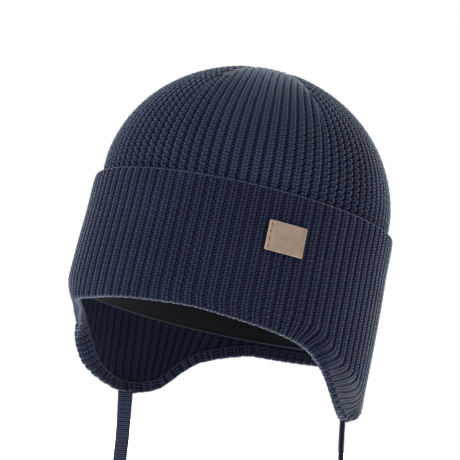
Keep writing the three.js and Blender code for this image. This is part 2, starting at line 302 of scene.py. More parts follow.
@dataclass(frozen=True)
class RibKnit:
    """Rib knit: raised lines of V stitches with sunk ladders of zigzag yarn between them."""

    ribs: int = 90
    course: float = 1.66
    relief: float = 1.15
    settle: float = 0.35
    first: float = 0.0
    pair: float = 1.0
    calm: float = 0.5
    calm_angle: float = math.radians(98)
    calm_stretches: int = 3
    lean_angle: float = math.radians(38)
    lean_changes: int = 3
    lean_gain: float = 1.4

    @property
    def columns(self) -> int:
        """Columns of points all round the hat."""
        return self.ribs * len(RIB_ACROSS)

    def angles(self) -> np.ndarray:
        """The angle of each column, with the first one repeated at the end."""
        return self.wales() * TURN / self.ribs + math.radians(self.first)

    def wales(self) -> np.ndarray:
        """The number of the rib at each column."""
        i = np.arange(self.columns + 1)
        return i // len(RIB_ACROSS) + np.array(RIB_ACROSS)[i % len(RIB_ACROSS)]

    def of_column(self, values: tuple) -> np.ndarray:
        """One value for each column, from the values across one rib."""
        i = np.arange(self.columns + 1)
        return np.array(values, float)[i % len(RIB_ACROSS)]

    def pairing(self) -> np.ndarray:
        """How much every second stitch stands out at each column: least along the calmer stretches."""
        calmer = (0.5 + 0.5 * np.cos(self.calm_stretches * (self.angles() - self.calm_angle))) ** 2
        return 1 - self.calm * calmer

    def lean(self) -> np.ndarray:
        """Which way the raised stitches run from rib to rib: down to the left at 1, to the right at -1."""
        return np.clip(-self.lean_gain * np.sin(self.lean_changes * (self.angles() - self.lean_angle)), -1, 1)

    def height(self, row: int, fade: np.ndarray) -> np.ndarray:
        """Height of the yarn over the cloth's face in one row.

        Args:
            row: number of the row, two for each course.
            fade: 1 where the stitches are whole, and 0 where they run out.

        Returns:
            The height of each column.
        """
        crest = 1 if row % 2 else -1
        ladder = self.of_column(RIB_HEIGHT) < LADDER_HEIGHT
        beat = self.of_column(RIB_BEAD) * np.where(ladder, -crest, crest)
        across, down = TURN * self.wales(), math.pi * (row / 2 - 0.5)
        swing = np.cos(across) * math.cos(down) + self.lean() * np.sin(across) * math.sin(down)
        pair = self.pair * self.pairing() * self.of_column(RIB_PAIR) * swing
        return self.relief * (self.of_column(RIB_HEIGHT) + (beat + pair) * fade) - self.settle

    def raised(self, height: np.ndarray) -> np.ndarray:
        """The share from 0, sunk, to 1, raised, of a height over the cloth's face."""
        return np.clip(1 + (height + self.settle) / self.relief, 0, 1)

    def droop(self, fade: np.ndarray) -> np.ndarray:
        """How far below its row each column's yarn lies."""
        return self.of_column(RIB_DROOP) * fade

    def sway(self, row: int, fade: np.ndarray) -> np.ndarray:
        """How far to the left each column's yarn lies, in millimetres."""
        turned = 1 if (row // 2) % 2 else -1
        return self.of_column(RIB_SWAY) * turned * fade


def select_all(piece: bpy.types.Object) -> None:
    """Makes one piece the only selected one."""
    bpy.ops.object.select_all(action="DESELECT")
    piece.select_set(True)
    bpy.context.view_layer.objects.active = piece


def knit_sheet(name: str, rows: list[np.ndarray], relief: list[np.ndarray] | None = None,
               wales: np.ndarray | None = None, rows_a_course: int = 2,
               fold_highlight: list[np.ndarray] | None = None, knit: RibKnit | None = None) -> bpy.types.Object:
    """A closed piece from a grid, whose points are laid on rows that run down the outside and up the inside.

    Args:
        name: the piece's name.
        rows: the points of each row in the row frame, the last point of a row being its first one again.
        relief: how raised each point of each row is, from 0 to 1, for the material.
        wales: the number of the rib at each column, a whole number in the middle of its raised line.
        rows_a_course: how many rows make one course of stitches.
        fold_highlight: how much painted highlight each point takes along a fold, from 0 to 1, for the
            material.
        knit: says how every second stitch stands out, for the material.

    Returns:
        The piece, with ribs as U and courses as V in its UV map.
    """
    across, down = rows[0].shape[0], len(rows)
    bpy.ops.object.select_all(action="DESELECT")
    bpy.ops.mesh.primitive_grid_add(x_subdivisions=across - 1, y_subdivisions=down - 1, size=2, calc_uvs=True)
    piece = bpy.context.object
    piece.name = name
    piece.data.name = name
    mesh = piece.data
    flat = np.empty(len(mesh.vertices) * 3, np.float32)
    mesh.vertices.foreach_get("co", flat)
    flat = flat.reshape(-1, 3)
    column = np.rint((flat[:, 0] + 1) / 2 * (across - 1)).astype(int)
    row = down - 1 - np.rint((flat[:, 1] + 1) / 2 * (down - 1)).astype(int)
    stack = np.stack(rows).astype(np.float32)
    mesh.vertices.foreach_set("co", stack[row, column].ravel())
    raised = np.ones((down, across)) if relief is None else np.stack(relief)
    painted_highlight = np.zeros((down, across)) if fold_highlight is None else np.stack(fold_highlight)
    pairing = np.tile(knit.pairing() if knit else np.ones(across), (down, 1))
    lean = np.tile(knit.lean() if knit else np.zeros(across), (down, 1))
    for key, values in (("relief", raised), ("fold_highlight", painted_highlight), ("pairing", pairing), ("lean", lean)):
        attribute = mesh.attributes.new(key, "FLOAT", "POINT")
        attribute.data.foreach_set("value", values[row, column].astype(np.float32))
    corner = np.empty(len(mesh.loops), np.int32)
    mesh.loops.foreach_get("vertex_index", corner)
    ribs = np.arange(across, dtype=np.float32) if wales is None else wales.astype(np.float32)
    chart = np.stack([ribs[column[corner]], row[corner] / rows_a_course], -1).astype(np.float32)
    mesh.uv_layers.active.data.foreach_set("uv", chart.ravel())
    select_all(piece)
    bpy.ops.object.mode_set(mode="EDIT")
    bpy.ops.mesh.select_all(action="SELECT")
    bpy.ops.mesh.remove_doubles(threshold=MERGE_DISTANCE)
    bpy.ops.mesh.dissolve_degenerate(threshold=LEAST_THICKNESS)
    bpy.ops.object.mode_set(mode="OBJECT")
    bpy.ops.object.shade_smooth()
    return piece


def report(piece: bpy.types.Object) -> None:
    """Logs a piece's name and its number of triangles."""
    piece.data.calc_loop_triangles()
    log.info("%s: %d triangles", piece.name, len(piece.data.loop_triangles))


@dataclass
class Brim:
    """The turned-up band with its two ear flaps, as one wall from the top fold to the rolled hem."""

    shape: HatShape = SHAPE
    knit: RibKnit = RibKnit(relief=1.2, pair=0.6, calm=0.6)
    fold_steps: int = 6
    hem_round: float = 2.7
    hem_height: float = 6.4
    hem_steps: int = 13
    path_steps: int = 60
    right_pull: float = 3
    pull_angle: float = 50
    pull_spread: float = 18
    # Painted highlight along the top fold, and under the hem's round up to the angles where it fades out
    top_fold_highlight: float = 0.3
    highlight_turn: float = math.radians(94)
    highlight_spread: float = math.radians(16)
    highlight_until: tuple = (75, 84)
    hem_relief: float = 0.5
    hem_squareness: float = 0.75
    hem_dip: float = 0.3
    hem_droop: float = 0.7
    lip_rows: tuple = ((0.1, 0.85), (0.0, 0.65))
    lip_sink: float = 0.5
    lip_depth: float = 0.8
    lower_back: tuple = (0, 0.4, 0.8, 1)
    upper_back: tuple = (0.6, 0.25)
    rows: list[np.ndarray] = field(default_factory=list)
    relief: list[np.ndarray] = field(default_factory=list)
    fold_highlight: list[np.ndarray] = field(default_factory=list)

    def add(self, phi: np.ndarray, depth: np.ndarray, inset: np.ndarray, height: np.ndarray,
            facing: float = 0.0, fold_highlight: float | np.ndarray = 0.0) -> None:
        """Adds one row of points.

        Args:
            phi: the angle of each point.
            depth: the depth of each point.
            inset: how far behind the band's face the cloth lies.
            height: how far the yarn stands off the cloth.
            facing: the way that the cloth faces: 0 outwards, a quarter turn down, a half turn inwards.
            fold_highlight: how much painted highlight the row takes along a fold.
        """
        self.fold_highlight.append(fold_highlight + 0 * phi)
        out = self.shape.band_face(phi, depth) - inset + height * math.cos(facing)
        points = self.shape.band_point(phi, depth + height * math.sin(facing), out)
        self.rows.append(self.shape.to_row(points))
        self.relief.append(self.knit.raised(height))

    def turns(self, angle: np.ndarray) -> tuple[np.ndarray, ...]:
        """Where the ribs of a flap turn towards its edge.

        Args:
            angle: the angle of each rib from the front in degrees, 0 to 180.

        Returns:
            For each rib its angle at the edge in degrees, the depth of its turn and the turn's length.
        """
        depth = smooth_curve(TURN_RIB, TURN_DEPTH, angle)
        ribs, edges = (
            (-table[0], 0, *table, 180, 360 - table[-1]) for table in (TURN_RIB, TURN_EDGE))
        edge = smooth_curve(ribs, edges, angle)
        return edge, depth, smooth_curve(TURN_RIB, TURN_LENGTH, angle)

    def lower_paths(self, phi: np.ndarray) -> tuple[np.ndarray, ...]:
        """The stretch of each column from its turn to the hem.

        Args:
            phi: the angle of each column at the top.

        Returns:
            Angle, depth and length so far at each step along each column, and for each column the depth
            where it starts and its angle at the edge.
        """
        side = np.where(np.mod(phi, TURN) > math.pi, -1.0, 1.0)
        edge_angle, corner, length = self.turns(self.shape.side_angle(phi))
        pulled = self.right_pull * np.exp(-(((edge_angle - self.pull_angle) / self.pull_spread) ** 2))
        edge = np.where(side > 0, np.radians(edge_angle), TURN - np.radians(edge_angle - pulled))
        edge = edge + np.floor(phi / TURN) * TURN
        end_angle, end_depth = self.shape.from_edge(edge, np.full_like(edge, self.hem_round))
        start = corner - length
        t = np.linspace(0, 1, self.path_steps)[:, None]
        angle = (1 - t) ** 2 * phi + 2 * t * (1 - t) * phi + t**2 * end_angle
        depth = (1 - t) ** 2 * start + 2 * t * (1 - t) * corner + t**2 * end_depth
        steps = np.hypot(np.diff(angle, axis=0) * self.shape.ring_radius(phi), np.diff(depth, axis=0))
        along = np.concatenate([np.zeros((1, len(phi))), np.cumsum(steps, 0)])
        return angle, depth, along, start, edge

    def read_path(self, table: np.ndarray, along: np.ndarray, at: np.ndarray) -> np.ndarray:
        """The value in each column of a table at a length along that column.

        Args:
            table: a row for each step, with a value for each column.
            along: the length so far at each step along each column.
            at: the length at which each column is read.

        Returns:
            One value for each column.
        """
        i = np.clip((along < at).sum(0) - 1, 0, len(along) - 2)
        pick = np.arange(table.shape[1])
        a, b = along[i, pick], along[i + 1, pick]
        share = np.clip((at - a) / np.maximum(b - a, 1e-9), 0, 1)
        return table[i, pick] + (table[i + 1, pick] - table[i, pick]) * share

    def make(self) -> bpy.types.Object:
        """Builds the brim.

        Returns:
            The finished piece, still without its material.
        """
        shape, knit = self.shape, self.knit
        phi = knit.angles()
        zero = np.zeros_like(phi)
        radius = shape.band_wall / 2
        pitch = knit.course / 2
        for step in range(self.fold_steps + 1):
            angle = math.pi * (1 - step / self.fold_steps)
            share = smooth_step(0, 1, np.array(step / self.fold_steps))
            height = knit.height(step, zero + share) * share
            up, out = math.sin(angle), math.cos(angle)
            points = shape.band_point(
                phi, zero + radius * (1 - up) - height * up,
                shape.band_face(phi, zero) - radius * (1 - out) + height * out)
            self.rows.append(shape.to_row(points))
            self.relief.append(self.knit.raised(height))
            # Painted highlight along the top fold
            self.fold_highlight.append(zero + self.top_fold_highlight * max(0.0, math.sin(angle)) ** 2)
        angle, depth, along, start, edge = self.lower_paths(phi)
        for row in range(1, int(start.max() / pitch) + 1):
            nominal = radius + row * pitch
            fade = np.clip((start - nominal) / knit.course, 0, 1)
            at = np.minimum(nominal + knit.droop(fade), start)
            sway = knit.sway(row, fade) / shape.ring_radius(phi)
            self.add(phi + sway, at, zero, knit.height(row, fade))
        total = along[-1]
        for row in range(int(total.max() / pitch), -1, -1):
            nominal = total - row * pitch
            fade = np.clip(nominal / knit.course, 0, 1) * min(1.0, row / 2)
            at = np.clip(nominal + knit.droop(fade), 0, total)
            turned = self.read_path(angle, along, at) + knit.sway(row, fade) / shape.ring_radius(phi)
            self.add(turned, self.read_path(depth, along, at), zero, knit.height(row, fade))
        self.add_hem(edge, zero)
        self.add_back(edge, phi, zero, start)
        self.rows.append(self.rows[0])
        self.relief.append(self.relief[0])
        self.fold_highlight.append(self.fold_highlight[0])
        return knit_sheet("brim_knit", self.rows, self.relief, knit.wales(), 2, self.fold_highlight, knit)

    def add_hem(self, edge: np.ndarray, zero: np.ndarray) -> None:
        """Adds the rolled hem: round under the edge and up the inside to a lip.

        Args:
            edge: the angle at which each column meets the edge.
            zero: a zero for each column.
        """
        shape, knit = self.shape, self.knit
        wall = shape.band_wall + shape.clearance + shape.facing_wall
        front = 1 - smooth_step(*self.highlight_until, shape.side_angle(edge))
        for step in range(1, self.hem_steps + 1):
            turn = math.pi * step / self.hem_steps
            down = math.sin(turn) ** self.hem_squareness if step < self.hem_steps else 0.0
            across = math.copysign(abs(math.cos(turn)) ** self.hem_squareness, math.cos(turn))
            phi, depth = shape.from_edge(edge, zero + self.hem_round * (1 - down))
            flat = 1 - (1 - self.hem_relief) * math.sin(turn / 2) - self.hem_dip * math.sin(turn)
            height = knit.height(step, zero + 1) * flat
            # Painted highlight under the hem's round, towards the front
            fold_highlight = front * math.exp(-(((turn - self.highlight_turn) / self.highlight_spread) ** 2))
            self.add(phi, depth, zero + wall / 2 * (1 - across), height, turn, fold_highlight)
        pitch = knit.course / 2
        count = int((self.hem_height - self.hem_round) / pitch)
        for row in range(1, count + 1):
            inwards = zero + self.hem_round + row * pitch - knit.droop(zero + 1) * self.hem_droop
            phi, depth = shape.from_edge(edge, inwards)
            self.add(phi, depth, zero + wall, knit.height(row + 1, zero + 1) * self.hem_relief, math.pi)
        for lip, inset in self.lip_rows:
            phi, depth = shape.from_edge(edge, zero + self.hem_height + lip)
            self.add(phi, depth, zero + wall * inset, zero - self.lip_sink)

    def add_back(self, edge: np.ndarray, phi: np.ndarray, zero: np.ndarray, start: np.ndarray) -> None:
        """Adds the hidden back of the wall, from the hem's lip up to the fold.

        Args:
            edge: the angle at which each column meets the edge.
            phi: the angle of each column at the top.
            zero: a zero for each column.
            start: the depth at which each column turns.
        """
        wall = self.shape.band_wall
        side, depth = self.shape.from_edge(edge, zero + self.hem_height - self.lip_depth)
        for share in self.lower_back:
            self.add(side + (phi - side) * share, depth + (start - depth) * share, zero + wall, zero)
        for share in self.upper_back:
            self.add(phi, start * share, zero + wall, zero)


@dataclass
class Crown:
    """The dome, gathered by six darts into which the ribs run, with a short skirt behind the band."""

    shape: HatShape = SHAPE
    knit: RibKnit = RibKnit(
        course=1.94, relief=1.35, first=2.0, pair=0.8, calm=0.65, calm_angle=math.radians(38))
    darts: int = 6
    first_dart: float = 4.0
    gather_rise: float = math.radians(47)
    gather_sharpness: float = 8
    top_flatness: float = 0.5
    dart_half_width: float = 3.4
    dart_sink: float = 1.3
    dart_start: float = math.radians(40)
    dart_full: float = math.radians(58)
    dart_fade: float = 2.0
    dart_floor: float = 1.2
    apex_rows: int = 6
    knit_reach: float = 4
    least_reach: float = 6
    skirt: float = 12
    skirt_top: float = 1.5
    hidden_relief: float = 0.5
    inner_rises: tuple = (3, 20, 38, 55, 70, 82, 90)
    measured_at: float = math.radians(60)
    measured_steps: int = 4000

    def rises(self) -> np.ndarray:
        """The rise of each row, from the apex down.

        Returns:
            The rises in radians, evenly spaced along the side of the dome.
        """
        fine = np.linspace(0, math.pi / 2, self.measured_steps)
        line = self.shape.dome_point(np.full_like(fine, self.measured_at), fine, np.zeros_like(fine))
        along = np.concatenate([[0], np.cumsum(np.linalg.norm(np.diff(line, axis=0), axis=1))])
        count = int(along[-1] / (self.knit.course / 2))
        return np.interp(np.linspace(along[-1], 0, count + 1), along, fine)

    def gathered(self, phi: np.ndarray, rise: float) -> tuple[np.ndarray, np.ndarray]:
        """Where the columns lie at a rise: they keep their distance and run out at the darts.

        Args:
            phi: the angle of each column at the ring.
            rise: the row's rise.

        Returns:
            Each column's angle there, and how far it is from the nearest dart in millimetres.
        """
        spacing = TURN / self.darts
        first = math.radians(self.first_dart)
        gore = np.floor((phi - first) / spacing)
        centre = first + (gore + 0.5) * spacing
        radius = max(math.cos(rise), 1e-6) ** (2 / self.shape.roundness)
        least = math.cos(self.gather_rise) ** (2 / self.shape.roundness)
        power = self.gather_sharpness
        kept = (radius**power + least**power) ** (1 / power)
        base = (1 + least**power) ** (1 / power)
        spread = kept / radius / base
        away = np.clip((phi - centre) * spread, -spacing / 2, spacing / 2)
        gap = (spacing / 2 - np.abs(away)) * radius * self.shape.half_width
        return centre + away, gap

    def make(self) -> bpy.types.Object:
        """Builds the crown.

        Returns:
            The finished piece, still without its material.
        """
        shape, knit = self.shape, self.knit
        phi = knit.angles()
        zero = np.zeros_like(phi)
        rows, relief = [], []
        rises = self.rises()
        for row, rise in enumerate(rises):
            angle, gap = self.gathered(phi, rise)
            apex = min(1.0, row / self.apex_rows)
            fade = np.clip(gap / self.dart_fade, 0, 1) * apex
            grown = float(smooth_step(self.dart_start, self.dart_full, np.array(rise)))
            sink = self.dart_sink * grown * np.maximum(0, 1 - gap / self.dart_half_width)
            near = 1 - grown * (1 - np.clip(gap / self.dart_floor, 0, 1))
            towards_top = float(smooth_step(self.dart_start, math.pi / 2, np.array(rise)))
            flatter = 1 - self.top_flatness * towards_top
            height = knit.height(row, fade) * near * apex * flatter - sink
            slide = knit.droop(fade) / (shape.half_width + self.knit_reach)
            sway = knit.sway(row, fade) / np.maximum(shape.half_width * math.cos(rise), self.least_reach)
            points = shape.dome_point(angle + sway, np.clip(rise - slide, 0, math.pi / 2), -height)
            rows.append(shape.to_row(points))
            relief.append(knit.raised(height))
        skirt_inset = shape.band_wall + shape.clearance
        outer, inner = 0, shape.crown_wall
        turns = ((self.skirt_top, outer), (self.skirt, outer), (self.skirt, inner), (self.skirt_top, inner))
        for depth, wall in turns:
            out = shape.band_face(phi, zero + depth) - skirt_inset - wall
            rows.append(shape.to_row(shape.band_point(phi, zero + depth, out)))
            relief.append(zero + self.hidden_relief)
        for rise in self.inner_rises:
            rows.append(shape.to_row(shape.dome_point(phi, zero + math.radians(rise), zero + inner)))
            relief.append(zero + self.hidden_relief)
        return knit_sheet("crown_knit", rows, relief, knit.wales(), knit=knit)


@dataclass
class Facing:
    """The ribbed inner side of the band and flaps, tucked under the hem's lip."""

    shape: HatShape = SHAPE
    knit: RibKnit = RibKnit(relief=0.8, pair=0.3)
    top: float = 56.3
    hem_height: float = 6.7
    depth_reach: float = 52
    edge_steps: int = 2600
    edge_before: float = 0.2
    edge_after: float = 0.4
    back_middle: float = 0.5
    foot_rows: tuple = ((0.8, 0.0), (1.0, 1.0), (0.5, 2.0))
    tuck: float = 0.5
    tuck_rows: int = 3
    start_rows: int = 2

    def make(self) -> bpy.types.Object:
        """Builds the facing.

        Returns:
            The finished piece, still without its material.
        """
        shape, knit = self.shape, self.knit
        phi = knit.angles()
        zero = np.zeros_like(phi)
        dense = np.linspace(-self.edge_before, TURN + self.edge_after, self.edge_steps)
        bound_angle, bound_depth = shape.from_edge(dense, np.full_like(dense, self.hem_height))
        side = np.where(np.mod(phi, TURN) > math.pi, -1.0, 1.0)
        fan = np.radians(smooth_curve(FAN_RIB, FAN_EDGE, shape.side_angle(phi)))
        foot = np.where(side > 0, fan, TURN - fan) + np.floor(phi / TURN) * TURN
        foot_depth = np.interp(foot, bound_angle, bound_depth)
        reach = foot_depth - self.top
        inset = shape.band_wall + shape.facing_clearance
        rows, relief = [], []

        def add(depth: np.ndarray, behind: np.ndarray, height: np.ndarray, sway: np.ndarray) -> None:
            """Adds one row of points.

            Args:
                depth: how far below the fold each point is.
                behind: how far behind the band's outer face it is.
                height: how far the stitch stands off from there, towards the head.
                sway: how far the stitch is moved along the band.
            """
            share = np.clip((depth - self.top) / reach, 0, 1)
            angle = phi + (foot - phi) * share + sway / shape.ring_radius(phi)
            out = shape.band_face(angle, depth) - behind - height
            rows.append(shape.to_row(shape.band_point(angle, depth, out)))
            relief.append(knit.raised(height))

        add(zero + self.top, zero + inset, zero, zero)
        add(self.top + reach * self.back_middle, zero + inset, zero, zero)
        for below, behind in self.foot_rows:
            add(foot_depth + below, zero + inset + behind, zero, zero)
        pitch = knit.course / 2
        inner = inset + shape.facing_wall
        for row in range(int(self.depth_reach / pitch)):
            nominal = foot_depth - row * pitch
            fade = np.clip((nominal - self.top) / knit.course, 0, 1) * min(1.0, row / self.start_rows)
            depth = np.clip(nominal + knit.droop(fade), self.top, foot_depth)
            tuck = self.tuck * max(0.0, 1 - row / self.tuck_rows)
            add(depth, zero + inner - tuck, knit.height(row, fade), knit.sway(row, fade))
        rows.append(rows[0])
        relief.append(relief[0])
        return knit_sheet("facing_knit", rows, relief, knit.wales(), knit=knit)


@dataclass
class Lining:
    """A thin smooth cap inside the crown, with a small rolled hem over the facing."""

    shape: HatShape = SHAPE
    columns: int = 240
    hem_depth: float = 65.3
    hem_radius: float = 0.6
    hem_steps: int = 8
    lit_steps: tuple = (3, 6)
    lip_rows: tuple = ((0.0, 1.05), (0.6, 0.85))
    outer_rises: tuple = (90, 78, 62, 46, 30, 14, 3)
    outer_depths: tuple = (4, 18, 34, 50)
    band_top: float = 4
    band_rows: int = 24
    dome_rises: tuple = (3, 84)
    dome_rows: int = 30
    dome_length: float = 120
    wrinkle: float = 0.5
    wrinkle_mean: float = 0.5
    wrinkle_swing: float = 0.25
    wrinkle_taper: float = 0.7
    folds: tuple = ((1.0, 7, 4, 0.0), (0.6, 13, -6, 1.3), (0.5, 23, 11, 0.4))

    def slack(self, phi: np.ndarray, height: np.ndarray) -> np.ndarray:
        """How far the loose jersey stands in towards the head, in soft folds.

        Args:
            phi: the angle of each point.
            height: how far up the lining the point is, from 0 at the hem to 1 at the apex.

        Returns:
            A distance of a few tenths of a millimetre.
        """
        folds = 0
        for depth, around, up, start in self.folds:
            folds = folds + depth * np.sin(around * phi + up * height + start)
        level = self.wrinkle_mean + self.wrinkle_swing * folds
        return self.wrinkle * level * np.sin(math.pi * np.clip(height, 0, 1)) ** self.wrinkle_taper

    def make(self) -> bpy.types.Object:
        """Builds the lining.

        Returns:
            The finished piece, still without its material.
        """
        shape = self.shape
        phi = np.linspace(0, TURN, self.columns + 1)
        zero = np.zeros_like(phi)
        dome_inset = shape.crown_wall + shape.clearance
        band_inset = shape.band_wall + shape.facing_clearance + shape.facing_wall + shape.clearance
        rows, relief = [], []

        def dome(rise: float, inset: np.ndarray) -> None:
            """Adds a row of the dome."""
            rows.append(shape.to_row(shape.dome_point(phi, zero + math.radians(rise), dome_inset + inset)))
            relief.append(zero)

        def band(depth: float, inset: np.ndarray, edge: float = 0.0) -> None:
            """Adds a row behind the band."""
            out = shape.band_face(phi, zero + depth) - band_inset - inset
            rows.append(shape.to_row(shape.band_point(phi, zero + depth, out)))
            relief.append(zero + edge)

        for rise in self.outer_rises:
            dome(rise, zero)
        for depth in (*self.outer_depths, self.hem_depth - 1):
            band(depth, zero)
        wall, round_ = shape.lining_wall, self.hem_radius
        for step in range(self.hem_steps + 1):
            turn = math.pi * step / self.hem_steps
            # The hem's round at these steps takes the rim colour: painted highlight
            lit = 1.0 if self.lit_steps[0] <= step <= self.lit_steps[1] else 0.0
            band(self.hem_depth - round_ + round_ * math.sin(turn), zero + round_ * (1 - math.cos(turn)), lit)
        for higher, inset in self.lip_rows:
            band(self.hem_depth - 2 * round_ - higher, zero + wall * inset)
        length = self.hem_depth + self.dome_length
        for depth in np.linspace(self.hem_depth - 3, self.band_top, self.band_rows):
            height = (self.hem_depth - depth) / length
            band(float(depth), wall + self.slack(phi, zero + height))
        for rise in np.linspace(*self.dome_rises, self.dome_rows):
            height = (self.hem_depth + self.dome_length * rise / 90) / length
            dome(float(rise), wall + self.slack(phi, zero + height) * (1 - (rise / 90) ** 4))
        dome(90, zero + wall)
        return knit_sheet("lining_jersey", rows, relief)


@dataclass
class HemSeam:
    """The thread that joins the facing to the hem, lying in the groove between them."""

    shape: HatShape = SHAPE
    inwards: float = 6.75
    inset: float = 5.75
    radius: float = 0.24
    columns: int = 540
    sides: int = 6

    def make(self) -> bpy.types.Object:
        """Builds the thread.

        Returns:
            A thin closed ring.
        """
        edge = np.linspace(0, TURN, self.columns + 1)
        rows = []
        for side in range(self.sides + 1):
            turn = TURN * side / self.sides
            phi, depth = self.shape.from_edge(edge, self.inwards - self.radius * math.sin(turn) + 0 * edge)
            out = self.shape.band_face(phi, depth) - self.inset + self.radius * math.cos(turn)
            rows.append(self.shape.to_row(self.shape.band_point(phi, depth, out)))
        return knit_sheet("hem_seam_thread", rows)


@dataclass
class Label:
    """The small suede label on the band: a plate folded at both sides, with tacking stitches in front."""

    shape: HatShape = SHAPE
    start: float = math.radians(46.4)
    end: float = math.radians(60.3)
    top: float = 17.4
    bottom: float = 34.0
    thickness: float = 1.1
    lift: float = 0.3
    cuts_across: int = 28
    cuts_down: int = 20
    rounding: float = 0.3
    stitch_inset: float = 1.5
    stitch_rows: tuple = (0.14, 0.38, 0.62, 0.86)
    stitch_length: float = 1.9
    stitch_width: float = 0.65
    stitch_height: float = 0.5
    fold_height: float = 0.22
    fold_at: float = 0.455
    fold_width: float = 0.02
    groove_depth: float = 0.28
    groove_at: float = 0.405
    groove_width: float = 0.012
    cushion_height: float = 0.12
    # Painted highlight on the rims, and painted shade in lines beside the grooves
    edge_highlight_from: float = 0.465
    edge_highlight_width: float = 0.03
    line_width: float = 0.014
    back_shade_line: float = 0.415
    front_shade_line: float = 0.43
    front_share: float = 0.4
    line_shade: float = 0.45

    def bent(self, across: np.ndarray, down: np.ndarray, height: np.ndarray) -> np.ndarray:
        """A flat point of the label, laid on the band.

        Args:
            across: from 0 at the label's front side to 1 at its back side.
            down: from 0 at its top to 1 at its bottom.
            height: how far off the band it is, in millimetres.

        Returns:
            The point in the row frame.
        """
        phi = self.start + (self.end - self.start) * across
        depth = self.top + (self.bottom - self.top) * down
        out = self.shape.band_face(phi, depth) + self.lift + height
        return self.shape.to_row(self.shape.band_point(phi, depth, out))

    def width(self) -> float:
        """The label's width along the band in millimetres."""
        middle = np.array((self.start + self.end) / 2)
        return float(self.shape.ring_radius(middle) + 4) * (self.end - self.start)

    def lay(self, piece: bpy.types.Object) -> None:
        """Bends a flat piece onto the band.

        Args:
            piece: a piece modelled with X across, Y up and Z off the band.
        """
        wide, tall = self.width(), self.bottom - self.top
        mesh = piece.data
        flat = np.empty(len(mesh.vertices) * 3, np.float32)
        mesh.vertices.foreach_get("co", flat)
        flat = flat.reshape(-1, 3) / MM
        points = self.bent(flat[:, 0] / wide + 0.5, 0.5 - flat[:, 1] / tall, flat[:, 2])
        mesh.vertices.foreach_set("co", points.astype(np.float32).ravel())
        mesh.update()

    def make_plate(self) -> bpy.types.Object:
        """Builds the plate with soft corners, a folded rim at each side and cushioned faces.

        Returns:
            The piece, bent onto the band.
        """
        wide, tall = self.width() * MM, (self.bottom - self.top) * MM
        bpy.ops.object.select_all(action="DESELECT")
        bpy.ops.mesh.primitive_cube_add(size=1, location=(0, 0, self.thickness * MM / 2))
        piece = bpy.context.object
        piece.name = "label_plate"
        piece.scale = (wide, tall, self.thickness * MM)
        bpy.ops.object.transform_apply(location=True, rotation=False, scale=True)
        bpy.ops.object.mode_set(mode="EDIT")
        bpy.ops.mesh.select_all(action="SELECT")
        bpy.ops.mesh.bevel(offset=self.rounding * MM, segments=3, affect="EDGES")
        bpy.ops.object.mode_set(mode="OBJECT")
        self.slice_through(piece, wide, tall)
        mesh = piece.data
        flat = np.empty(len(mesh.vertices) * 3, np.float32)
        mesh.vertices.foreach_get("co", flat)
        flat = flat.reshape(-1, 3)
        across, down = flat[:, 0] / wide, flat[:, 1] / tall
        fold = self.fold_height * MM * (np.exp(-(((np.abs(across) - self.fold_at) / self.fold_width) ** 2)))
        top_side = flat[:, 2] > 0.5 * self.thickness * MM
        in_groove = np.exp(-(((np.abs(across) - self.groove_at) / self.groove_width) ** 2))
        groove = self.groove_depth * MM * in_groove
        cushion = self.cushion_height * MM * np.sin(across * 9 + 1) * np.cos(down * 7)
        flat[:, 2] += np.where(top_side, fold - groove + cushion, 0)
        mesh.vertices.foreach_set("co", flat.ravel())
        # The outermost rim is made paler as painted highlight, and lines beside the grooves darker as painted
        # shade, through the relief measure
        outermost = np.maximum(np.abs(across), np.abs(down))
        pale = np.clip((outermost - self.edge_highlight_from) / self.edge_highlight_width, 0, 1)
        back_shade_line = np.exp(-(((across - self.back_shade_line) / self.line_width) ** 2))
        front_shade_line = np.exp(-(((across + self.front_shade_line) / self.line_width) ** 2))
        groove_shade = back_shade_line + self.front_share * front_shade_line
        attribute = mesh.attributes.new("relief", "FLOAT", "POINT")
        attribute.data.foreach_set("value", (0.5 + 0.5 * pale - self.line_shade * groove_shade).astype(np.float32))
        self.lay(piece)
        select_all(piece)
        bpy.ops.object.shade_smooth_by_angle(angle=math.radians(50))
        return piece

    def slice_through(self, piece: bpy.types.Object, wide: float, tall: float) -> None:
        """Cuts the plate by evenly spaced planes, so that it can bend.

        Args:
            piece: the flat plate.
            wide: its width in metres.
            tall: its height in metres.
        """
        select_all(piece)
        bpy.ops.object.mode_set(mode="EDIT")
        for i in range(1, self.cuts_across):
            bpy.ops.mesh.select_all(action="SELECT")
            x = (i / self.cuts_across - 0.5) * wide
            bpy.ops.mesh.bisect(plane_co=(x, 0, 0), plane_no=(1, 0, 0))
        for i in range(1, self.cuts_down):
            bpy.ops.mesh.select_all(action="SELECT")
            y = (i / self.cuts_down - 0.5) * tall
            bpy.ops.mesh.bisect(plane_co=(0, y, 0), plane_no=(0, 1, 0))
        bpy.ops.object.mode_set(mode="OBJECT")

    def make_stitches(self) -> bpy.types.Object:
        """Builds the brown tacking stitches along the front side of the plate.

        Returns:
            All the stitches as one piece, bent onto the band.
        """
        wide, tall = self.width() * MM, (self.bottom - self.top) * MM
        made = []
        for share in self.stitch_rows:
            place = (self.stitch_inset * MM - wide / 2, (0.5 - share) * tall, self.thickness * MM)
            bpy.ops.object.select_all(action="DESELECT")
            bpy.ops.mesh.primitive_uv_sphere_add(segments=12, ring_count=8, radius=0.5, location=place)
            bead = bpy.context.object
            bead.scale = (self.stitch_width * MM, self.stitch_length * MM, self.stitch_height * MM)
            bpy.ops.object.transform_apply(location=True, rotation=False, scale=True)
            made.append(bead)
        bpy.ops.object.select_all(action="DESELECT")
        for bead in made:
            bead.select_set(True)
        bpy.context.view_layer.objects.active = made[0]
        bpy.ops.object.join()
        piece = bpy.context.object
        piece.name = "label_stitches"
        self.lay(piece)
        select_all(piece)
        bpy.ops.object.shade_smooth()
        return piece


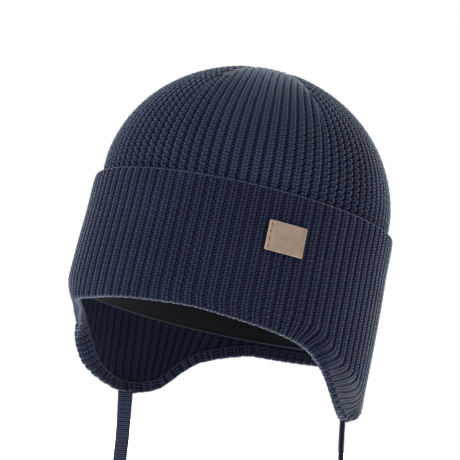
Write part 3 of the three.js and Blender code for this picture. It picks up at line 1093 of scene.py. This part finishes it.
@dataclass
class Tie:
    """A flat knitted cord under a flap's lowest point, with fine ladder stitches across it."""

    side: Side
    flat_to: float
    shape: HatShape = SHAPE
    angle: float = math.radians(108)
    inset: float = 3.1
    width: float = 7.8
    thickness: float = 3.3
    course: float = 1.25
    sides: int = 36
    rows_a_course: int = 4
    ladder: float = 0.22
    spread: float = 0.2
    tucked: float = 1.5
    ridges: int = 6
    ridge: float = 0.16
    flare: float = 0.5
    flare_reach: float = 7
    stagger: float = 0.9
    flat_bead: float = 0.45
    scallop: float = 0.16
    skin: float = 0.2
    edge_power: float = 0.75
    face_power: float = 0.8
    end_from: float = 0.975

    def route(self) -> np.ndarray:
        """The centreline's points, from the flap down.

        Returns:
            The points in the row frame, in metres.
        """
        phi = np.array(self.side.value * self.angle)
        depth = self.shape.even_edge(phi) + self.shape.clearance
        root = self.shape.band_point(phi, depth, self.shape.band_face(phi, depth) - self.inset)
        root = self.shape.to_row(root)
        out, back, down = (np.array(v, float) for v in (ROUTE_OUT, ROUTE_BACK, ROUTE_DOWN))
        return root + np.stack([self.side.value * out, back, -down], -1) * MM

    def centre(self, along: np.ndarray) -> np.ndarray:
        """A point on the smooth centreline.

        Args:
            along: the length from the exit in metres, below 0 where the tie is tucked into the flap.

        Returns:
            The point in the row frame.
        """
        points = self.route()
        drop = np.array(ROUTE_DOWN, float) * MM
        tucked = np.array([0, 0, max(0.0, -float(along))])
        return np.stack([np.interp(along, drop, points[:, axis]) for axis in range(3)], -1) + tucked

    def make(self) -> bpy.types.Object:
        """Builds the tie.

        Returns:
            The finished piece, still without its material.
        """
        length = ROUTE_DOWN[-1] * MM
        tucked = self.tucked * MM
        count = int((length + tucked) / (self.course * MM) * self.rows_a_course)
        flat = math.radians(self.flat_to)
        wide = np.array([math.cos(flat), math.sin(flat), 0])
        thick = np.array([-math.sin(flat), math.cos(flat), 0])
        turn = np.linspace(0, TURN, self.sides + 1)
        cos, sin = np.cos(turn), np.sin(turn)
        rows, relief = [], []
        for i in range(count + 1):
            share = i / count
            centre = self.centre(np.array(share * (length + tucked) - tucked))
            phase = TURN * i / self.rows_a_course
            wave = np.cos(phase + self.stagger * np.abs(cos) * math.pi)
            bead = self.ladder * wave * (self.flat_bead + (1 - self.flat_bead) * np.abs(sin))
            edge_scallop = self.scallop * np.cos(phase) * cos**2
            flare = self.flare * math.exp(-share * (length + tucked) / (self.flare_reach * MM))
            half_wide = self.width / 2 + self.skin + bead * 0.5 + edge_scallop + flare
            half_thick = self.thickness / 2 - self.skin + bead + self.ridge * np.cos(self.ridges * turn)
            x = np.sign(cos) * np.abs(cos) ** self.edge_power * half_wide
            y = np.sign(sin) * np.abs(sin) ** self.face_power * half_thick
            past_end = max(0.0, (share - self.end_from) / (1 - self.end_from))
            close = math.sqrt(max(0.0, 1 - past_end**2))
            rows.append(centre + (x[:, None] * wide + y[:, None] * thick) * MM * max(close, 0.0))
            relief.append(np.clip(0.5 + bead / (2 * self.ladder), 0, 1))
        start = np.repeat(self.centre(np.array(-tucked))[None], self.sides + 1, 0)
        rows.insert(0, start)
        relief.insert(0, relief[0])
        name = "tie_left_knit" if self.side is Side.LEFT else "tie_right_knit"
        wales = 0.5 + self.spread * cos
        return knit_sheet(name, rows, relief, wales, self.rows_a_course)


def linear(hex_code: str) -> tuple[float, float, float, float]:
    """An sRGB hex colour as a linear colour with full alpha."""
    channels = [int(hex_code[i:i + 2], 16) / 255 for i in (1, 3, 5)]
    turned = [c / 12.92 if c <= 0.04045 else ((c + 0.055) / 1.055) ** 2.4 for c in channels]
    return (*turned, 1.0)


def add_node(tree: bpy.types.NodeTree, kind: str, settings: dict | None = None,
             inputs: dict | None = None) -> bpy.types.Node:
    """Adds a node to a tree.

    Args:
        tree: the node tree.
        kind: the node's type name.
        settings: the node's own properties.
        inputs: for each input's name or number, a value or the output socket that feeds it.

    Returns:
        The node.
    """
    node = tree.nodes.new(kind)
    for key, value in (settings or {}).items():
        setattr(node, key, value)
    for key, value in (inputs or {}).items():
        if isinstance(value, bpy.types.NodeSocket):
            tree.links.new(value, node.inputs[key])
        else:
            node.inputs[key].default_value = value
    return node


def add_sums(tree: bpy.types.NodeTree, known: dict, *steps: tuple) -> dict:
    """Adds a chain of sums to a tree.

    Args:
        tree: the node tree.
        known: the sockets that can be used by name.
        steps: for each sum the result's name, the operation and its operands, as names or numbers.

    Returns:
        All the sockets by name.
    """
    found = dict(known)
    for name, operation, *operands in steps:
        values = {i: found.get(v, v) for i, v in enumerate(operands)}
        found[name] = add_node(tree, "ShaderNodeMath", {"operation": operation}, values).outputs["Value"]
    return found


def add_attribute(tree: bpy.types.NodeTree, name: str) -> bpy.types.NodeSocket:
    """Reads a measure stored on the mesh.

    Args:
        tree: the material's node tree.
        name: the measure.

    Returns:
        The socket with the measure at each point.
    """
    return add_node(tree, "ShaderNodeAttribute", {"attribute_name": name}).outputs["Fac"]


def add_noise(
        tree: bpy.types.NodeTree, size_mm: float, detail: float, roughness: float = 0.5
) -> bpy.types.NodeSocket:
    """Adds unevenness that stays in place on the object.

    Args:
        tree: the material's node tree.
        size_mm: the size of one blotch.
        detail: how many finer levels there are.
        roughness: how strong the finer levels are.

    Returns:
        The socket with the level at each point, mostly between the ends of NOISE_RANGE.
    """
    place = add_node(tree, "ShaderNodeTexCoord").outputs["Object"]
    noise = add_node(tree, "ShaderNodeTexNoise", inputs={
        "Vector": place, "Scale": 1 / (size_mm * MM), "Detail": detail, "Roughness": roughness})
    return noise.outputs["Fac"]


def add_range(
        tree: bpy.types.NodeTree, value: bpy.types.NodeSocket, source: tuple, target: tuple
) -> bpy.types.NodeSocket:
    """Stretches a level from one range onto another and holds it there.

    Args:
        tree: the material's node tree.
        value: the level.
        source: the range's two ends before.
        target: the two ends after.

    Returns:
        The socket with the new level.
    """
    stretch = add_node(tree, "ShaderNodeMapRange", inputs={
        "Value": value, "From Min": source[0], "From Max": source[1],
        "To Min": target[0], "To Max": target[1]})
    return stretch.outputs["Result"]


def add_ramp(tree: bpy.types.NodeTree, value: bpy.types.NodeSocket, *stops: tuple) -> bpy.types.NodeSocket:
    """Turns a level into a colour.

    Args:
        tree: the material's node tree.
        value: the level.
        stops: the low and the high stop, each a level and a hexadecimal colour.

    Returns:
        The socket with the colour.
    """
    ramp = add_node(tree, "ShaderNodeValToRGB", inputs={"Fac": value})
    for element, (position, code) in zip(ramp.color_ramp.elements, stops):
        element.position = position
        element.color = linear(code)
    return ramp.outputs["Color"]


def add_scaled(
        tree: bpy.types.NodeTree, colour: bpy.types.NodeSocket, level: bpy.types.NodeSocket
) -> bpy.types.NodeSocket:
    """Makes a colour lighter or darker.

    Args:
        tree: the material's node tree.
        colour: the colour.
        level: how light it becomes, with 1 for no change.

    Returns:
        The socket with the new colour.
    """
    tone = add_node(tree, "ShaderNodeVectorMath", {"operation": "SCALE"}, {0: colour, "Scale": level})
    return tone.outputs["Vector"]


def add_bump(
        tree: bpy.types.NodeTree, height: bpy.types.NodeSocket, strength: float, depth_mm: float
) -> bpy.types.NodeSocket:
    """Roughens a surface.

    Args:
        tree: the material's node tree.
        height: the level that stands for the height.
        strength: how strongly the light follows it.
        depth_mm: the height of level 1.

    Returns:
        The socket with the direction of the surface.
    """
    bump = add_node(tree, "ShaderNodeBump", inputs={
        "Strength": strength, "Distance": depth_mm * MM, "Height": height})
    return bump.outputs["Normal"]


def add_shader(tree: bpy.types.NodeTree, inputs: dict) -> None:
    """Adds the surface shader and makes it the material's surface.

    Args:
        tree: the material's node tree.
        inputs: values or sockets by the name of the input.
    """
    shader = add_node(tree, "ShaderNodeBsdfPrincipled", inputs=inputs)
    add_node(tree, "ShaderNodeOutputMaterial", inputs={"Surface": shader.outputs["BSDF"]})


def start_material(name: str) -> tuple[bpy.types.Material, bpy.types.NodeTree]:
    """Starts a material.

    Args:
        name: the real finish.

    Returns:
        The material and its empty node tree.
    """
    material = bpy.data.materials.new(name)
    material.use_nodes = True
    material.node_tree.nodes.clear()
    return material, material.node_tree


@dataclass(frozen=True)
class Yarn:
    """Dyed wool: matt spun yarn, whose single strands catch the light; the dark gaps between them are painted
    shade.
    """

    name: str
    raised: str
    # The sunk colour holds painted shade for the low parts of the knit
    sunk: str
    fuzz: str
    sheen: float = 1.0
    even_sheen: float = 0.3
    roughness: float = 0.92
    specular: float = 0.05
    line_gap: float = 0.04
    leg_gap: float = 0.45
    ladder_gap: float = 0.12
    leg_edge: float = 0.29
    leg_slant: float = 1.6
    leg_start: float = 0.8
    purl_slant: float = 1.8
    pair_depth: float = 0.5
    sheen_roughness: float = 0.32
    # The colour of the painted highlight along folds
    painted_highlight: str = "#8796b4"
    highlight_share: float = 0.75
    relief_ends: tuple = (0.1, 0.9)
    fibre_mm: float = 0.28
    fibre_range: tuple = (0.3, 0.72)
    fibre_light: tuple = (0.6, 1.45)
    fibre_bump: float = 0.35
    cloud_mm: float = 22
    cloud_light: tuple = (0.9, 1.1)
    bump_mm: float = 0.3
    bump_strength: float = 0.8
    middle_line: float = 0.085
    side_line: float = 0.06
    ladder_sharpness: float = 20.0
    crest_sharpness: float = 1.6
    lean_across: float = 1.37
    lean_down: float = 0.21

    def stitches(self, tree: bpy.types.NodeTree) -> dict:
        """Adds the pattern of the strands: oblique legs along a rib, and arcs across the ladder beside it.

        Args:
            tree: the material's node tree.

        Returns:
            Sockets by name: how far up a strand each point is, and how light it is there.
        """
        chart = add_node(tree, "ShaderNodeSeparateXYZ", inputs={
            "Vector": add_node(tree, "ShaderNodeTexCoord").outputs["UV"]})
        known = {"rib": chart.outputs["X"], "course": chart.outputs["Y"]}
        for name in ("pairing", "lean"):
            known[name] = add_attribute(tree, name)
        # The strands of the ladder lean one way for some courses and then the other
        slow = add_sums(tree, known, ("far", "MULTIPLY", "rib", self.lean_across),
                        ("long", "MULTIPLY", "course", self.lean_down))
        spot = add_node(tree, "ShaderNodeCombineXYZ", inputs={"X": slow["far"], "Y": slow["long"]})
        sway = add_node(tree, "ShaderNodeTexNoise", inputs={
            "Vector": spot.outputs["Vector"], "Scale": 1.0, "Detail": 1.0})
        known["purl_lean"] = add_range(
            tree, sway.outputs["Fac"], NOISE_RANGE, (-self.purl_slant, self.purl_slant))
        # The colour is darkened in the gaps between strands, along the lines beside the legs and in the holes
        # beside every second stitch: painted shade
        found = add_sums(
            tree, known,
            ("away", "PINGPONG", "rib", 0.5),
            ("leg_share", "MULTIPLY_ADD", "away", -self.leg_slant, self.leg_start),
            ("leg_at", "ADD", "leg_share", "course"),
            ("leg_turn", "MULTIPLY", "leg_at", TURN),
            ("leg", "COSINE", "leg_turn"),
            ("in_rib", "FRACT", "rib"),
            ("from_ladder", "SUBTRACT", "in_rib", 0.5),
            ("from_middle", "ABSOLUTE", "from_ladder"),
            ("arc", "MULTIPLY_ADD", "from_middle", self.leg_slant, "course"),
            ("purl_at", "MULTIPLY_ADD", "from_ladder", "purl_lean", "arc"),
            ("purl_turn", "MULTIPLY", "purl_at", TURN),
            ("purl", "COSINE", "purl_turn"),
            ("past", "SUBTRACT", "away", self.leg_edge),
            ("is_purl", "MULTIPLY_ADD", "past", self.ladder_sharpness, 0.5),
            ("purl_share", "MAXIMUM", "is_purl", 0.0),
            ("ladder", "MINIMUM", "purl_share", 1.0),
            ("change", "SUBTRACT", "purl", "leg"),
            ("wave", "MULTIPLY_ADD", "change", "ladder", "leg"),
            ("strand", "MULTIPLY_ADD", "wave", 0.5, 0.5),
            ("off_middle", "MULTIPLY", "away", 1 / self.middle_line),
            ("middle", "MINIMUM", "off_middle", 1.0),
            ("off_side", "ABSOLUTE", "past"),
            ("side_share", "MULTIPLY", "off_side", 1 / self.side_line),
            ("side", "MINIMUM", "side_share", 1.0),
            ("lines", "MINIMUM", "middle", "side"),
            ("line_light", "MULTIPLY_ADD", "lines", 1 - self.line_gap, self.line_gap),
            ("crest", "POWER", "strand", self.crest_sharpness),
            ("least", "MULTIPLY_ADD", "ladder", self.ladder_gap - self.leg_gap, self.leg_gap),
            ("most", "SUBTRACT", 1.0, "least"),
            ("strand_light", "MULTIPLY_ADD", "crest", "most", "least"),
            ("rib_turn", "MULTIPLY", "rib", TURN),
            ("rib_even", "COSINE", "rib_turn"),
            ("rib_odd", "SINE", "rib_turn"),
            ("pair_from", "SUBTRACT", "course", 0.5),
            ("pair_turn", "MULTIPLY", "pair_from", math.pi),
            ("pair_even", "COSINE", "pair_turn"),
            ("pair_odd", "SINE", "pair_turn"),
            ("swing_even", "MULTIPLY", "rib_even", "pair_even"),
            ("swing_odd", "MULTIPLY", "rib_odd", "pair_odd"),
            ("swing", "MULTIPLY_ADD", "swing_odd", "lean", "swing_even"),
            ("pair_dip", "MULTIPLY_ADD", "swing", -0.5, 0.5),
            ("pair_part", "MULTIPLY", "pairing", self.pair_depth),
            ("pair_dark", "MULTIPLY", "pair_dip", "pair_part"),
            ("pair_light", "SUBTRACT", 1.0, "pair_dark"),
            ("line_strand", "MULTIPLY", "line_light", "strand_light"),
            ("light", "MULTIPLY", "line_strand", "pair_light"),
            ("height", "MULTIPLY", "strand", "lines"))
        return found

    def material(self) -> bpy.types.Material:
        """Builds the material.

        Returns:
            The finished material.
        """
        material, tree = start_material(self.name)
        pattern = self.stitches(tree)
        # The ladders between the ribs lie deeper, and the colour there turns to the darker sunk colour:
        # painted shade in the recesses
        low, high = self.relief_ends
        dye_and_shade = add_ramp(tree, add_attribute(tree, "relief"), (low, self.sunk), (high, self.raised))
        # Spun wool takes the dye unevenly, fibre by fibre and slowly over the cloth
        fibres = add_noise(tree, self.fibre_mm, 3.0, 0.65)
        clouds = add_noise(tree, self.cloud_mm, 2.0)
        speckle = add_range(tree, fibres, self.fibre_range, self.fibre_light)
        drift = add_range(tree, clouds, NOISE_RANGE, self.cloud_light)
        # Where the cloth is folded, the colour is mixed towards a paler one: painted highlight along the top
        # fold and under the front of the hem
        even_sheen = self.sheen * self.even_sheen
        sums = add_sums(
            tree, {**pattern, "speckle": speckle, "drift": drift, "fibres": fibres,
                   "fold_highlight": add_attribute(tree, "fold_highlight")},
            ("dyed", "MULTIPLY", "speckle", "drift"),
            ("tone", "MULTIPLY", "light", "dyed"),
            ("highlit", "MULTIPLY", "fold_highlight", self.highlight_share),
            ("fuzz", "MULTIPLY_ADD", "light", self.sheen - even_sheen, even_sheen),
            ("rough", "MULTIPLY_ADD", "fibres", self.fibre_bump, "height"))
        cloth = add_node(tree, "ShaderNodeMix", {"data_type": "RGBA"}, {
            0: sums["highlit"], 6: dye_and_shade, 7: linear(self.painted_highlight)})
        add_shader(tree, {
            "Base Color": add_scaled(tree, cloth.outputs[2], sums["tone"]), "Roughness": self.roughness,
            "IOR": 1.5, "Specular IOR Level": self.specular, "Sheen Weight": sums["fuzz"],
            "Sheen Roughness": self.sheen_roughness, "Sheen Tint": linear(self.fuzz),
            "Normal": add_bump(tree, sums["rough"], self.bump_strength, self.bump_mm)})
        return material


@dataclass(frozen=True)
class Suede:
    """Tan imitation suede: an even napped face, a little darker in painted shade along lines beside its
    grooves and paler with painted highlight on its rims.
    """

    name: str = "tan_microfibre_suede"
    base: str = "#a89181"
    shade: str = "#8a7566"
    nap_mm: float = 0.35
    nap_bump_mm: float = 0.08
    blotch_mm: float = 5
    blotch_share: float = 0.8
    shade_range: tuple = (0.6, 1.2)
    rim_and_groove_light: tuple = (0.62, 1.38)

    def material(self) -> bpy.types.Material:
        """Builds the material.

        Returns:
            The finished material.
        """
        material, tree = start_material(self.name)
        nap = add_noise(tree, self.nap_mm, 4.0, 0.7)
        blotch = add_noise(tree, self.blotch_mm, 2.0)
        sums = add_sums(
            tree, {"nap": nap, "blotch": blotch},
            ("mixed", "MULTIPLY_ADD", "blotch", self.blotch_share, "nap"))
        share = add_range(tree, sums["mixed"], self.shade_range, (0.0, 1.0))
        face = add_ramp(tree, share, (0.0, self.shade), (1.0, self.base))
        # Painted highlight makes the folded rims paler, and painted shade makes the lines beside them darker
        groove_shade = add_range(tree, add_attribute(tree, "relief"), (0.0, 1.0), self.rim_and_groove_light)
        add_shader(tree, {
            "Base Color": add_scaled(tree, face, groove_shade), "Roughness": 0.85, "Specular IOR Level": 0.25,
            "Sheen Weight": 0.15, "Sheen Roughness": 0.5,
            "Normal": add_bump(tree, nap, 0.5, self.nap_bump_mm)})
        return material


@dataclass(frozen=True)
class Jersey:
    """Fine dark jersey: flat columns of tiny stitches that only soften the light."""

    name: str
    base: str
    rim: str
    stitch_mm: float = 0.9
    stitch_light: tuple = (0.85, 1.15)
    stitch_bump_mm: float = 0.15

    def material(self) -> bpy.types.Material:
        """Builds the material.

        Returns:
            The finished material.
        """
        material, tree = start_material(self.name)
        # The relief measure blends from the base to the rim colour: on the lining this is painted highlight
        # on the hem's round
        face = add_ramp(tree, add_attribute(tree, "relief"), (0.0, self.base), (1.0, self.rim))
        grain = add_noise(tree, self.stitch_mm, 3.0, 0.6)
        level = add_range(tree, grain, NOISE_RANGE, self.stitch_light)
        add_shader(tree, {
            "Base Color": add_scaled(tree, face, level), "Roughness": 0.9, "Specular IOR Level": 0.2,
            "Sheen Weight": 0.1, "Normal": add_bump(tree, grain, 0.5, self.stitch_bump_mm)})
        return material


OUTER_WOOL = Yarn(
    "navy_wool_rib_knit", "#414c67", "#242e48", "#d8e5f5", line_gap=0.6, leg_edge=0.28, pair_depth=0.55)
BRIM_WOOL = Yarn(
    "navy_wool_band_knit", "#38415b", "#353e5c", "#d8e5f5", sheen=0.82, line_gap=0.05, leg_edge=0.33,
    pair_depth=0.38)
# The facing's wool is darker than the outer wool: painted shade for the inside of the hat
SHADED_INNER_WOOL = Yarn(
    "navy_wool_inner_knit_shaded", "#2a3044", "#1d2231", "#4a536b", sheen=0.22, line_gap=0.6, leg_gap=0.8,
    ladder_gap=0.5, pair_depth=0.25)
TIE_WOOL = Yarn("navy_wool_flat_cord", "#58617d", "#454d68", "#7a879e", leg_gap=0.6, ladder_gap=0.2)
SEAM_THREAD = Jersey("grey_polyester_seam_thread", "#2b313d", "#2b313d")
# The lining's charcoal is darkened further: painted shade for the inside of the hat
LINING_JERSEY = Jersey("charcoal_cotton_jersey", "#0f1319", "#363d48")
STITCH_THREAD = Jersey("brown_polyester_thread", "#4a3526", "#4a3526")


@dataclass
class Studio:
    """White surroundings with soft light, and a pale floor well below the hat, which is held up."""

    shape: HatShape = SHAPE
    azimuth: float = math.radians(32.12)
    elevation: float = math.radians(2.06)
    roll: float = math.radians(3.98)
    distance: float = 1.3
    focal_px: float = 2251
    aim_px: tuple = (246.76, 210.26)
    floor_drop: float = 0.42
    floor_size: float = 2.6
    light_size: float = 0.9
    light_aim: tuple = (0, 0, -0.1)
    world_seen: float = 1.0
    world_lit: float = 0.73

    def add_camera(self) -> None:
        """Sets the camera at the photo's viewing angle."""
        a, e = self.azimuth, self.elevation
        back = Vector((math.sin(a) * math.cos(e), -math.cos(a) * math.cos(e), math.sin(e)))
        right = Vector((math.cos(a), math.sin(a), 0))
        up = back.cross(right)
        place = Vector(self.shape.seat() * MM) + back * self.distance
        right_px = PHOTO_SIZE / 2 - self.aim_px[0]
        up_px = self.aim_px[1] - PHOTO_SIZE / 2
        cos, sin = math.cos(self.roll), math.sin(self.roll)
        image_right = right * cos + up * sin
        image_up = up * cos - right * sin
        aside = image_right * (right_px / self.focal_px) + image_up * (up_px / self.focal_px)
        forward = (aside - back).normalized()
        x_axis = (image_right - forward * image_right.dot(forward)).normalized()
        y_axis = x_axis.cross(forward)
        data = bpy.data.cameras.new("photo_camera")
        data.sensor_width = 36
        data.lens = self.focal_px / PHOTO_SIZE * data.sensor_width
        data.clip_start = 0.05
        camera = bpy.data.objects.new("photo_camera", data)
        bpy.context.scene.collection.objects.link(camera)
        turn = Matrix((x_axis, y_axis, -forward)).transposed().to_4x4()
        camera.matrix_world = Matrix.Translation(place) @ turn
        bpy.context.scene.camera = camera

    def add_floor(self) -> None:
        """Adds the pale floor."""
        bpy.ops.object.select_all(action="DESELECT")
        bpy.ops.mesh.primitive_plane_add(size=self.floor_size, location=(0, 0, -self.floor_drop))
        floor = bpy.context.object
        floor.name = "floor"
        bpy.ops.object.transform_apply(location=True, rotation=False, scale=False)
        material = bpy.data.materials.new("pale_matt_floor")
        material.use_nodes = True
        shader = material.node_tree.nodes["Principled BSDF"]
        shader.inputs["Base Color"].default_value = linear("#f4f4f2")
        shader.inputs["Roughness"].default_value = 0.9
        floor.data.materials.append(material)

    def add_area(self, name: str, place: tuple, power: float) -> None:
        """Adds a soft square light that points at the hat's middle.

        Args:
            name: the light's name.
            place: where it stands, in metres.
            power: its power in watts.
        """
        data = bpy.data.lights.new(name, "AREA")
        data.size = self.light_size
        data.energy = power
        light = bpy.data.objects.new(name, data)
        bpy.context.scene.collection.objects.link(light)
        light.location = place
        towards = Vector(self.light_aim) - Vector(place)
        light.rotation_euler = towards.to_track_quat("-Z", "Y").to_euler()

    def add_lights(self) -> None:
        """Adds white surroundings, brighter to the camera than they light, and three soft lights."""
        world = bpy.data.worlds.new("white_studio")
        bpy.context.scene.world = world
        world.use_nodes = True
        tree = world.node_tree
        tree.nodes.clear()
        seen = add_node(
            tree, "ShaderNodeBackground", inputs={"Color": (1, 1, 1, 1), "Strength": self.world_seen})
        lit = add_node(tree, "ShaderNodeBackground", inputs={
            "Color": (1, 1, 1, 1), "Strength": self.world_lit})
        path = add_node(tree, "ShaderNodeLightPath")
        mixed = add_node(tree, "ShaderNodeMixShader", inputs={
            0: path.outputs["Is Camera Ray"], 1: lit.outputs["Background"], 2: seen.outputs["Background"]})
        add_node(tree, "ShaderNodeOutputWorld", inputs={"Surface": mixed.outputs["Shader"]})
        self.add_area("key_light", (-0.5, -1.5, 1.2), 18)
        self.add_area("back_rim_light", (-0.2, 1.55, 0.45), 40)
        self.add_area("far_rim_light", (-1.25, 0.85, 0.5), 43)
        bpy.context.scene.view_settings.view_transform = "Standard"
        bpy.context.scene.view_settings.look = "None"


def dress(piece: bpy.types.Object, finish: Yarn | Suede | Jersey, slot: str, *nodes: str) -> None:
    """Gives a piece its material and its body, hides the parts that it stands for and logs its triangles.

    Args:
        piece: the finished piece.
        finish: what it is made of.
        slot: the record's material slot; not used.
        nodes: the names of the nodes that it replaces.
    """
    piece.data.materials.clear()
    known = bpy.data.materials.get(finish.name)
    piece.data.materials.append(known or finish.material())
    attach(piece, "root")
    if nodes:
        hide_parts(*nodes)
    report(piece)


def add_ties() -> None:
    for tie, node in ((Tie(Side.LEFT, 122), "tie_left"), (Tie(Side.RIGHT, 32), "tie_right")):
        piece = tie.make()
        dress(piece, TIE_WOOL, "tie_knit", node)
        route = [tuple(p) for p in tie.route().tolist()]


def main() -> None:
    """Builds the hat and its surroundings."""
    logging.basicConfig(level=logging.INFO, format="%(name)s %(message)s", stream=sys.stdout)
    studio = Studio()
    studio.add_camera()
    add_ties()
    dress(Crown().make(), OUTER_WOOL, "crown_knit", "crown")
    dress(Brim().make(), BRIM_WOOL, "brim_knit", "brim")
    dress(Facing().make(), SHADED_INNER_WOOL, "facing_knit", "facing")
    dress(HemSeam().make(), SEAM_THREAD, "facing_knit")
    dress(Lining().make(), LINING_JERSEY, "lining_jersey", "lining")
    label = Label()
    dress(label.make_plate(), Suede(), "label_tape", "label")
    dress(label.make_stitches(), STITCH_THREAD, "label_tape")
    studio.add_floor()
    studio.add_lights()


if __name__ == "__main__":
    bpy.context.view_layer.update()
    main()
